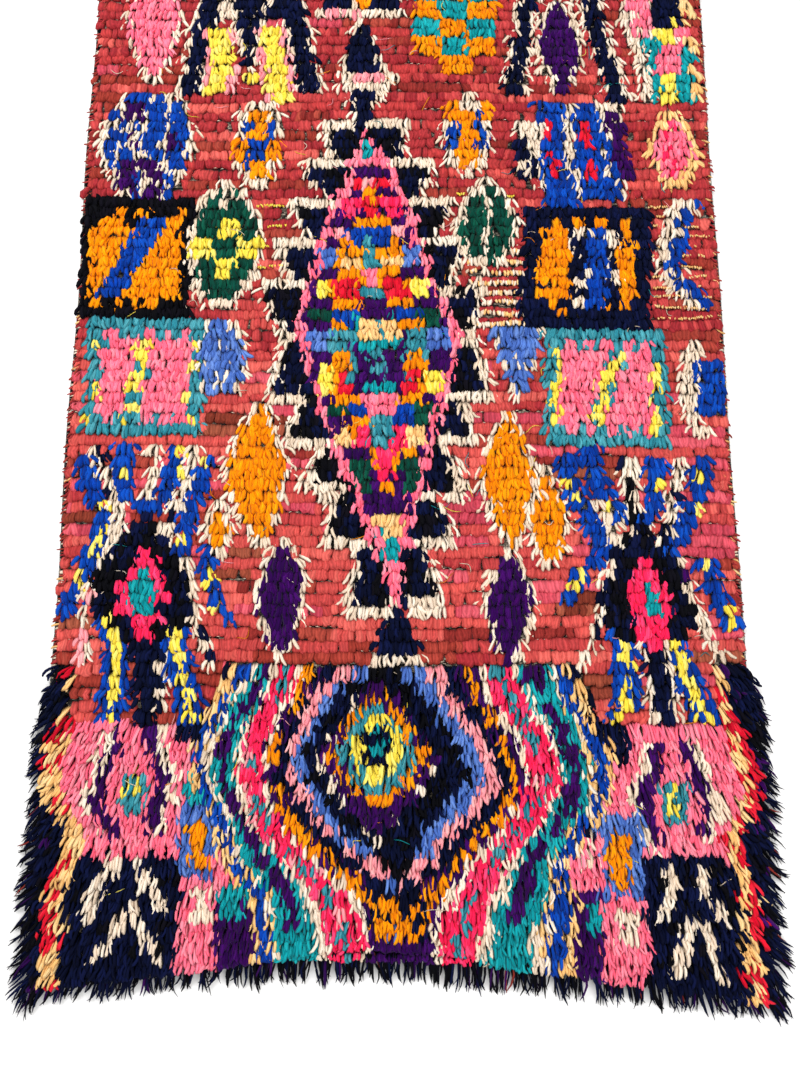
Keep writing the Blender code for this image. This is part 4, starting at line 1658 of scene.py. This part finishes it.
@dataclass
class ShagPanel(Layer):
    """The deep panel: knots of long curled strands in close rows, fanned out at the sides."""

    pitch: float = 0.0186
    rows: int = 33
    top_y: float = -0.6395
    side_top_y: float = -0.7360
    side_row: int = 100
    knot_pitch: float = 0.0124
    half_width: float = 0.0034
    strand_length: float = 0.0385
    strand_rise: float = 0.0185
    shown: float = 0.0245
    first_shown: float = 0.012
    # How far the coloured strands hang past the slab's near edge, at places across it.
    end_places: Numbers = (-0.45, -0.36, -0.18, -0.09, 0.06, 0.12, 0.20, 0.40)
    end_past: Numbers = (0.010, 0.008, -0.007, -0.018, -0.010, -0.006, 0.014, 0.024)

    def lean(self, x: Array, y: Array) -> Array:
        """Gives how far the pile leans outwards at each place, in radians from straight down."""
        far = np.interp(np.abs(x), (0.0, 0.3, 0.56, 0.62, 0.67), (0.0, 0.06, 0.16, 0.42, 0.80))
        return np.sign(x) * far * np.interp(-y, (0.7, 0.95, 1.2), (1.0, 0.95, 0.8))

    def lay(self) -> None:
        """Lays every row of the panel."""
        x, y, row = self.places()
        count, lean = len(x), self.lean(x, y)
        first = (row == 0) | (row == self.side_row)
        depth = np.where(first, self.first_shown, self.shown)
        ragged = self.noise(0.0014, count)
        chart = Chart((x + np.sin(lean) * depth + ragged) / MM, (y - np.cos(lean) * depth) / MM,
                      np.zeros(count, int), self.rng.random(count))
        EyePanel().draw(chart)
        knots = self.tie(x, y, KNOT_HEIGHT, chart.dye)
        turn, bounce = self.noise(0.08, count), self.noise(0.0016, count)
        past = np.interp(x, self.end_places, self.end_past)
        near_edge = np.minimum(smooth(y - end_y(x), -0.01, 0.05),
                               smooth(0.685 - np.abs(x), 0.0, 0.05))
        for seat in (-1, 0, 1):
            sub = knots.moved(seat * self.knot_pitch / 3 + self.noise(0.0006, count),
                              self.noise(0.0022, count))
            sub.band = (sub.band + self.rng.integers(0, 3, count)) % BANDS
            heading = lean + turn + seat * 0.05 + self.noise(0.11, count)
            length = self.strand_length + self.noise(0.003, count) - 0.008 * first
            room = (y - end_y(x) + past) / np.maximum(np.cos(heading), 0.3)
            length = np.minimum(length, np.maximum(room, 0.014))
            climb = self.strand_rise + bounce + self.noise(0.0012, count)
            climb = climb * (0.66 + 0.34 * near_edge)
            wide = self.half_width * (1 + self.noise(0.14, count))
            self.pile.lay(NOODLE.lay(sub, heading, length, wide, wide * 1.15, climb,
                                     self.noise(0.0050, count), self.noise(0.5, count)))

    def places(self) -> tuple[Array, Array, Array]:
        """Spaces knots along the rows, with one more row under each end of the red rows.

        Returns:
            x, y and row of each knot; the added row has a number of its own.
        """
        span = PANEL_HALF_WIDTH - 0.004
        count = int(2 * span / self.knot_pitch)
        found = []
        for row in [*range(self.rows), self.side_row]:
            x = ((np.arange(count) + 0.5 + 0.5 * (row % 2)) / count * 2 - 1) * span
            x = np.clip(x + self.noise(0.0012, count), -span, span)
            level = self.side_top_y if row == self.side_row else self.top_y - row * self.pitch
            y = level + self.noise(0.0016, count) * (0 < row < self.side_row)
            y = y + ROW_BOW * np.sin(TURN * (x + ROW_DRIFT * y) / ROW_WAVE)
            kept = (y > end_y(x) + 0.004) & ~on_side_field(x, y)
            if row == self.side_row:
                kept &= on_side_field(x, np.full(count, -0.73))
            found.append((x[kept], y[kept], np.full(int(kept.sum()), row)))
        x, y, rows = (np.concatenate(part) for part in zip(*found))
        return x, y, rows


@dataclass
class RimLocks(Layer):
    """The loose dark locks that stick out round the panel, past its slab."""

    side_pitch: float = 0.0024
    end_pitch: float = 0.0026
    # Where the roots stand, on both sides and at the near end.
    side_x: float = 0.652
    end_half: float = 0.665
    clump: int = 5
    root_height: float = 0.0012
    lock_half: float = 0.0026
    lock_rise: float = 0.0125

    def side(self, side: int) -> None:
        """Lays the locks of one side edge.

        Args:
            side: -1 for the left side and 1 for the right one.
        """
        low = float(end_y(np.array(side * 0.66)))
        count = int((PANEL_TOP_Y - low) / self.side_pitch)
        y = PANEL_TOP_Y + 0.006 - (np.arange(count) + self.rng.random(count)) * self.side_pitch
        x = side * (self.side_x + self.noise(0.004, count))
        clump = self.rng.random(count)[np.arange(count) // self.clump]
        turn = np.interp(-y, (0.66, 0.72, 0.95, 1.2), (0.70, 0.85, 0.80, 0.62))
        heading = side * (turn + (clump - 0.5) * 0.5 + self.noise(0.12, count))
        reach = np.interp(-y, (0.66, 0.74, 0.95, 1.12, 1.20, 1.23),
                          (0.680, 0.698, 0.702, 0.714, 0.714, 0.706) if side < 0 else
                          (0.700, 0.708, 0.716, 0.719, 0.721, 0.722))
        reach = reach + self.noise(0.004, count) + 0.008 * (clump - 0.5)
        length = np.clip((reach - np.abs(x)) / np.sin(np.abs(heading)), 0.03, 0.075)
        self.lay(x, y, heading, length)

    def end(self) -> None:
        """Lays the locks of the near end."""
        count = int(2 * self.end_half / self.end_pitch)
        x = -self.end_half + (np.arange(count) + self.rng.random(count)) * self.end_pitch
        y = end_y(x) + 0.010 + self.noise(0.004, count)
        clump = self.rng.random(count)[np.arange(count) // self.clump]
        turn = np.interp(np.abs(x), (0.0, 0.4, 0.67), (0.0, 0.14, 0.55))
        heading = np.sign(x) * turn + (clump - 0.5) * 0.5 + self.noise(0.10, count)
        length = (0.040 + 0.014 * clump + self.noise(0.005, count)
                  + 0.018 * smooth(x, 0.02, 0.16) + 0.006 * smooth(-x, 0.35, 0.64))
        self.lay(x, y, heading, length)

    def lay(self, x: Array, y: Array, heading: Array, length: Array) -> None:
        """Lays thin pointed locks that come down onto the floor.

        Args:
            x: each root's place across.
            y: each root's place along the rug.
            heading: each lock's direction.
            length: each lock's length.
        """
        count = len(x)
        chance = self.rng.random(count)
        dye = np.where(chance < np.interp(np.abs(x), (0.2, 0.5), (0.2, 0.6)), NAVY, BLACK)
        dye = np.where(chance > 0.92, PURPLE, dye)
        dye = np.where(chance > 0.98, RUST, dye)
        knots = self.tie(x, y, self.root_height, dye)
        wide = self.lock_half * (1 + self.noise(0.2, count))
        self.pile.lay(LOCK.lay(knots, heading, length, wide, wide * 1.1,
                               self.lock_rise + self.noise(0.0022, count),
                               self.noise(0.006, count), self.noise(0.6, count)))


@dataclass(frozen=True)
class Comb:
    """A patch where short strips of one dye stand in combed lines between the rows."""

    left: float
    right: float
    low: float
    high: float
    dye: Dye
    reach: float = 0.0060
    step: int = 1
    base: float = 0.0095
    half: float = 0.0019
    rise: float = 0.004
    shift: float = 0.0045
    spread: float = 0.4
    ragged: bool = True
    peach: float = 0.0


COMBS = (
    Comb(0.140, 0.266, 0.050, 0.258, IVORY, 0.0140, base=0.0050, half=0.0030, rise=0.0075,
         shift=-0.0085, spread=0.25, ragged=False, peach=0.45),
    Comb(-0.312, -0.222, 0.150, 0.345, YELLOW, step=2),
    Comb(0.520, 0.650, 0.060, 0.345, PEACH),
    Comb(0.100, 0.270, 0.330, 0.352, YELLOW, 0.0070))


@dataclass(frozen=True)
class Gauge:
    """How big one kind of loose yarn is, and how high it is tied in."""

    base: float
    half: float
    tall: float
    rise: float
    length: float = 0.0


@dataclass
class Yarns(Layer):
    """Ground yarns that show: plied dashes in the gaps, selvedge wraps and stray ends."""

    half_row: float = 0.66
    dash_pitch: float = 0.0072
    dash: Gauge = Gauge(0.0072, 0.0013, 0.0014, 0.001, 0.00792)
    wrap_pitch: float = 0.0046
    wrap: Gauge = Gauge(0.0016, 0.0022, 0.0020, 0.0056, 0.0112)
    ends_a_row: int = 3
    end: Gauge = Gauge(0.0065, 0.0021, 0.0021, 0.003)
    comb_pitch: float = 0.0036
    strays: int = 150
    stray: Gauge = Gauge(0.0, 0.0008, 0.0008, 0.0028)

    def lay(self) -> None:
        """Lays the dashes, the wraps, the rag ends, the combs and the strays."""
        for row in range(LAST_ROW):
            self.lay_dashes(row)
        for side in (-1, 1):
            self.lay_selvedge(side)
        for side in (-1, 1):
            self.lay_ends(side)
        for comb in COMBS:
            for row in range(0, LAST_ROW, comb.step):
                if comb.low < FIRST_ROW_Y - row * ROW_PITCH < comb.high:
                    self.lay_comb(comb, row)
        self.lay_strays()

    def on_red(self, x: Array, y: Array) -> Array:
        """Tells which places lie on the red ground, outside the figures.

        Args:
            x: places across the rug.
            y: places along the rug.

        Returns:
            A mask of the places.
        """
        chart = Chart(x / MM, y / MM, np.zeros(len(x), int), np.full(len(x), 0.99))
        FieldFigures().draw(chart)
        return chart.dye <= LAST_FIELD_DYE

    def lay_dashes(self, row: int) -> None:
        """Lays short black and off-white dashes where the weft shows below a row.

        Args:
            row: the row above the gap.
        """
        count = int(2 * self.half_row / self.dash_pitch)
        x = -self.half_row + (np.arange(count) + self.rng.random()) * self.dash_pitch
        number = np.full(count, row)
        y = row_y(number, x) + row_wave(number, x) - 0.0222 + self.noise(0.0004, count)
        shown = (weft_shows(number, x) > 0.2) & (self.rng.random(count) < 0.9) & self.on_red(x, y)
        dye = np.where(np.arange(count) % 2 == 0, IVORY, BLACK)
        knots = self.tie(x, y, self.dash.base + self.noise(0.0006, count), dye).pick(shown)
        self.pile.lay(DASH.lay(knots, QUARTER + self.noise(0.14, len(knots.dye)),
                               self.dash.length, self.dash.half, self.dash.tall, self.dash.rise))

    def lay_selvedge(self, side: int) -> None:
        """Wraps black and off-white wool round one side edge of the field.

        Args:
            side: -1 for the left side and 1 for the right one.
        """
        count = int((PLAIN_END_Y - PANEL_TOP_Y) / self.wrap_pitch)
        turns = np.arange(count) + 0.3 * self.rng.random(count)
        y = PLAIN_END_Y - 0.003 - turns * self.wrap_pitch
        x = edge_x(y, side) - side * 0.0120
        chance = self.rng.random(count)
        dye = np.where((np.arange(count) // 2) % 2 == 0, BLACK, IVORY)
        dye = np.where(chance < 0.3, BLACK, dye)
        dye = np.where(chance > 0.8, RUST, dye)
        if side > 0:
            dye = np.where((chance > 0.6) & (chance < 0.7), PEACH, dye)
            dye = np.where((chance > 0.3) & (chance <= 0.6), RUST, dye)
        knots = self.tie(x, y, self.wrap.base, dye)
        self.pile.lay(WRAP.lay(knots, side * (QUARTER + self.noise(0.2, count)),
                               self.wrap.length, self.wrap.half, self.wrap.tall, self.wrap.rise))

    def lay_ends(self, side: int) -> None:
        """Lays the rag ends that poke out past one side edge.

        Args:
            side: -1 for the left side and 1 for the right one.
        """
        row = np.repeat(np.arange(LAST_ROW), self.ends_a_row)
        count = len(row)
        y = FIRST_ROW_Y - (row + self.rng.random(count)) * ROW_PITCH
        x = edge_x(y, side) - side * self.rng.uniform(0.013, 0.019, count)
        chance = self.rng.random(count)
        dye = np.where(chance < 0.5, CRIMSON, RUST)
        dye = np.where(chance > (0.95 if side < 0 else 0.8), PEACH, dye)
        self.pile.lay(PETAL.lay(self.tie(x, y, self.end.base, dye),
                                side * (0.9 + self.noise(0.32, count)),
                                self.rng.uniform(0.013, 0.022, count), self.end.half,
                                self.end.tall, self.end.rise, self.noise(0.002, count),
                                self.noise(0.4, count)))

    def lay_comb(self, comb: Comb, row: int) -> None:
        """Lays one line of a comb.

        Args:
            comb: the patch and its strips.
            row: the row that the line follows.
        """
        left = comb.left + self.rng.uniform(0, 0.03) * comb.ragged
        right = comb.right - self.rng.uniform(0, 0.03) * comb.ragged
        x = np.arange(left, right, self.comb_pitch)
        number = np.full(len(x), row)
        y = row_y(number, x) + row_wave(number, x) + self.noise(0.0008, len(x)) + comb.shift
        kept = self.on_red(x, y) & (self.rng.random(len(x)) < 0.9)
        if comb.peach:
            kept &= combed(x, y)
        x, y, count = x[kept], y[kept], int(kept.sum())
        if count:
            dye = np.where(self.rng.random(count) < comb.peach, PEACH, comb.dye)
            self.pile.lay(PETAL.lay(self.tie(x, y, comb.base, dye), self.noise(comb.spread, count),
                                    comb.reach * (1 + self.noise(0.12, count)), comb.half,
                                    comb.half, comb.rise))

    def lay_strays(self) -> None:
        """Lays thin loose threads that curl on top of the pile."""
        count = self.strays
        x, y = self.rng.uniform(-0.6, 0.6, count), self.rng.uniform(-1.1, 1.1, count)
        base = self.stray.base + np.where(y > -0.70, 0.0125, 0.0215)
        dye = self.rng.choice((IVORY, IVORY, YELLOW, GOLD, PALE_PINK,
                               TEAL), count)
        self.pile.lay(THREAD.lay(self.tie(x, y, base, dye), self.rng.uniform(-2.2, 2.2, count),
                                 self.rng.uniform(0.018, 0.045, count), self.stray.half,
                                 self.stray.tall, self.stray.rise, self.noise(0.009, count)))


@dataclass
class GroundWeave:
    """The cloth that carries the knots: one flat sheet from the plain end to the near edge."""

    thickness: float = 0.0036
    rows: int = 130
    columns: int = 14

    def build(self) -> Piece:
        """Builds the sheet as a closed mesh that lies on the floor.

        Returns:
            The cloth, with the plan of the rug as its map.
        """
        share = np.linspace(0, 1, self.rows)
        across = np.linspace(0, 1, self.columns)
        tops = []
        for step in share:
            y_mid = PLAIN_END_Y + (END_MIDDLE_Y + 0.004 - PLAIN_END_Y) * step
            field_left, field_right = edge_x(np.array(y_mid), -1), edge_x(np.array(y_mid), 1)
            narrow = float(smooth(np.array(-y_mid), 0.640, 0.665))
            left = field_left * (1 - narrow) - PANEL_HALF_WIDTH * narrow
            right = field_right * (1 - narrow) + PANEL_HALF_WIDTH * narrow
            x = float(left) + (float(right) - float(left)) * across
            low = end_y(x) + 0.004
            y = PLAIN_END_Y + (low - PLAIN_END_Y) * step
            tops.append(np.stack([x, y], -1))
        plan = np.array(tops)
        ribs = 0.0004 * np.sin(plan[..., 1] * TURN / 0.0035) * (plan[..., 1] > 1.24)
        top = np.concatenate([plan, (self.thickness + ribs)[..., None]], -1)
        bottom = np.concatenate([plan, np.zeros(plan.shape[:2] + (1,))], -1)
        points = np.concatenate([top.reshape(-1, 3), bottom.reshape(-1, 3)])
        index = np.arange(self.rows * self.columns).reshape(self.rows, self.columns)
        a, b, c, d = index[:-1, :-1], index[:-1, 1:], index[1:, 1:], index[1:, :-1]
        upper = np.stack([a, d, c, b], -1).reshape(-1, 4)
        lower = np.stack([a, b, c, d], -1).reshape(-1, 4) + index.size
        rim = np.concatenate([index[0, :], index[1:, -1], index[-1, -2::-1], index[-2:0:-1, 0]])
        after = np.roll(rim, -1)
        wall = np.stack([rim, after, after + index.size, rim + index.size], -1)
        spots = np.concatenate([plan.reshape(-1, 2), plan.reshape(-1, 2)])
        spots = (spots + np.array([1.3, 1.3])) / WoolGround.map_size
        inset = spots.copy()
        inset[index.size:] = 0.5 + (inset[index.size:] - 0.5) * 0.994
        faces = [upper, lower, wall]
        maps = [spots[upper], spots[lower], inset[wall]]
        made = mesh_object("ground_weave", points, [np.concatenate(faces)],
                           [np.concatenate(maps)])
        made.data.materials.append(WoolGround().material())
        return made


@dataclass
class Studio:
    """Pale floor, soft light and the camera over the near half of the rug."""

    camera_place: tuple[float, float, float] = (0.0, -0.8124, 2.011)
    tilt: float = math.radians(12.2)
    lens: float = 35.0
    sensor: float = 36.0
    floor_size: float = 14.0

    def build(self) -> None:
        """Builds the floor, the lights, the sky and the camera."""
        bpy.ops.mesh.primitive_grid_add(x_subdivisions=4, y_subdivisions=4, size=self.floor_size,
                                        location=(0, 0, -0.0005))
        floor = bpy.context.object
        floor.name = "studio_floor"
        floor.data.materials.append(PaintedFloor().material())
        self.light("key", (-1.6, 1.6, 3.2), 1.8, 90.0)
        self.light("fill", (1.9, -1.4, 3.0), 2.4, 38.0)
        world = bpy.data.worlds.new("soft_white_room")
        world.use_nodes = True
        world.node_tree.nodes["Background"].inputs[0].default_value = (1.0, 1.0, 1.0, 1.0)
        world.node_tree.nodes["Background"].inputs[1].default_value = 1.0
        bpy.context.scene.world = world
        camera = bpy.data.cameras.new("camera")
        camera.lens, camera.sensor_width = self.lens, self.sensor
        camera.sensor_fit = "AUTO"
        view = bpy.data.objects.new("camera", camera)
        view.location = self.camera_place
        view.rotation_euler = (self.tilt, 0.0, 0.0)
        bpy.context.scene.collection.objects.link(view)
        bpy.context.scene.camera = view
        bpy.context.scene.view_settings.view_transform = "Standard"

    def light(self, name: str, place: tuple[float, float, float], size: float,
              power: float) -> None:
        """Hangs one square soft light that faces the rug's middle.

        Args:
            name: the light's name.
            place: where it hangs.
            size: its side.
            power: its watts.
        """
        data = bpy.data.lights.new(name, "AREA")
        data.size, data.energy = size, power
        lamp = bpy.data.objects.new(name, data)
        lamp.location = place
        aim = Vector((0.0, -0.2, 0.0)) - Vector(place)
        lamp.rotation_euler = aim.to_track_quat("-Z", "Y").to_euler()
        bpy.context.scene.collection.objects.link(lamp)


def triangles(piece: Piece) -> int:
    """Counts a piece's triangles."""
    return sum(len(p.vertices) - 2 for p in piece.data.polygons)


def dress(pieces: dict[Dye, Piece], materials: dict[Dye, bpy.types.Material]) -> int:
    """Gives pieces their dyes, rides them on the rug and reports them.

    Args:
        pieces: the pieces by dye.
        materials: the dyes' materials.

    Returns:
        How many triangles they have.
    """
    total = 0
    for dye, piece in pieces.items():
        piece.data.materials.append(materials[dye])
        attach(piece, "root")
        count = triangles(piece)
        total += count
        LOG.info("%s: %d triangles", piece.name, count)
    return total


def main() -> None:
    """Builds the studio, the pile, the yarns, the cloth and the locks, in that order."""
    logging.basicConfig(level=logging.INFO, format="%(message)s")
    Studio().build()
    rng = np.random.default_rng(SEED)
    materials = {dye: RAG_BAG[dye].material(dye.name.lower()) for dye in Dye}
    pile = Pile()
    for layer in (FieldPile, ShagPanel, Yarns):
        layer(pile, rng).lay()
    rags = pile.build("rags")
    total = dress(rags, materials)
    ground = GroundWeave().build()
    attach(ground, "root")
    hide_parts("rug")
    total += triangles(ground)
    LOG.info("%s: %d triangles", ground.name, triangles(ground))
    for name, side in (("left_locks", -1), ("right_locks", 1), ("end_locks", 0)):
        strip = Pile()
        locks = RimLocks(strip, rng)
        if side:
            locks.side(side)
        else:
            locks.end()
        pieces = strip.build(name.replace("locks", "rim"))
        total += dress(pieces, materials)
        for piece in pieces.values():
            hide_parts(name)
    LOG.info("all pieces: %d triangles", total)


if __name__ == "__main__":
    main()
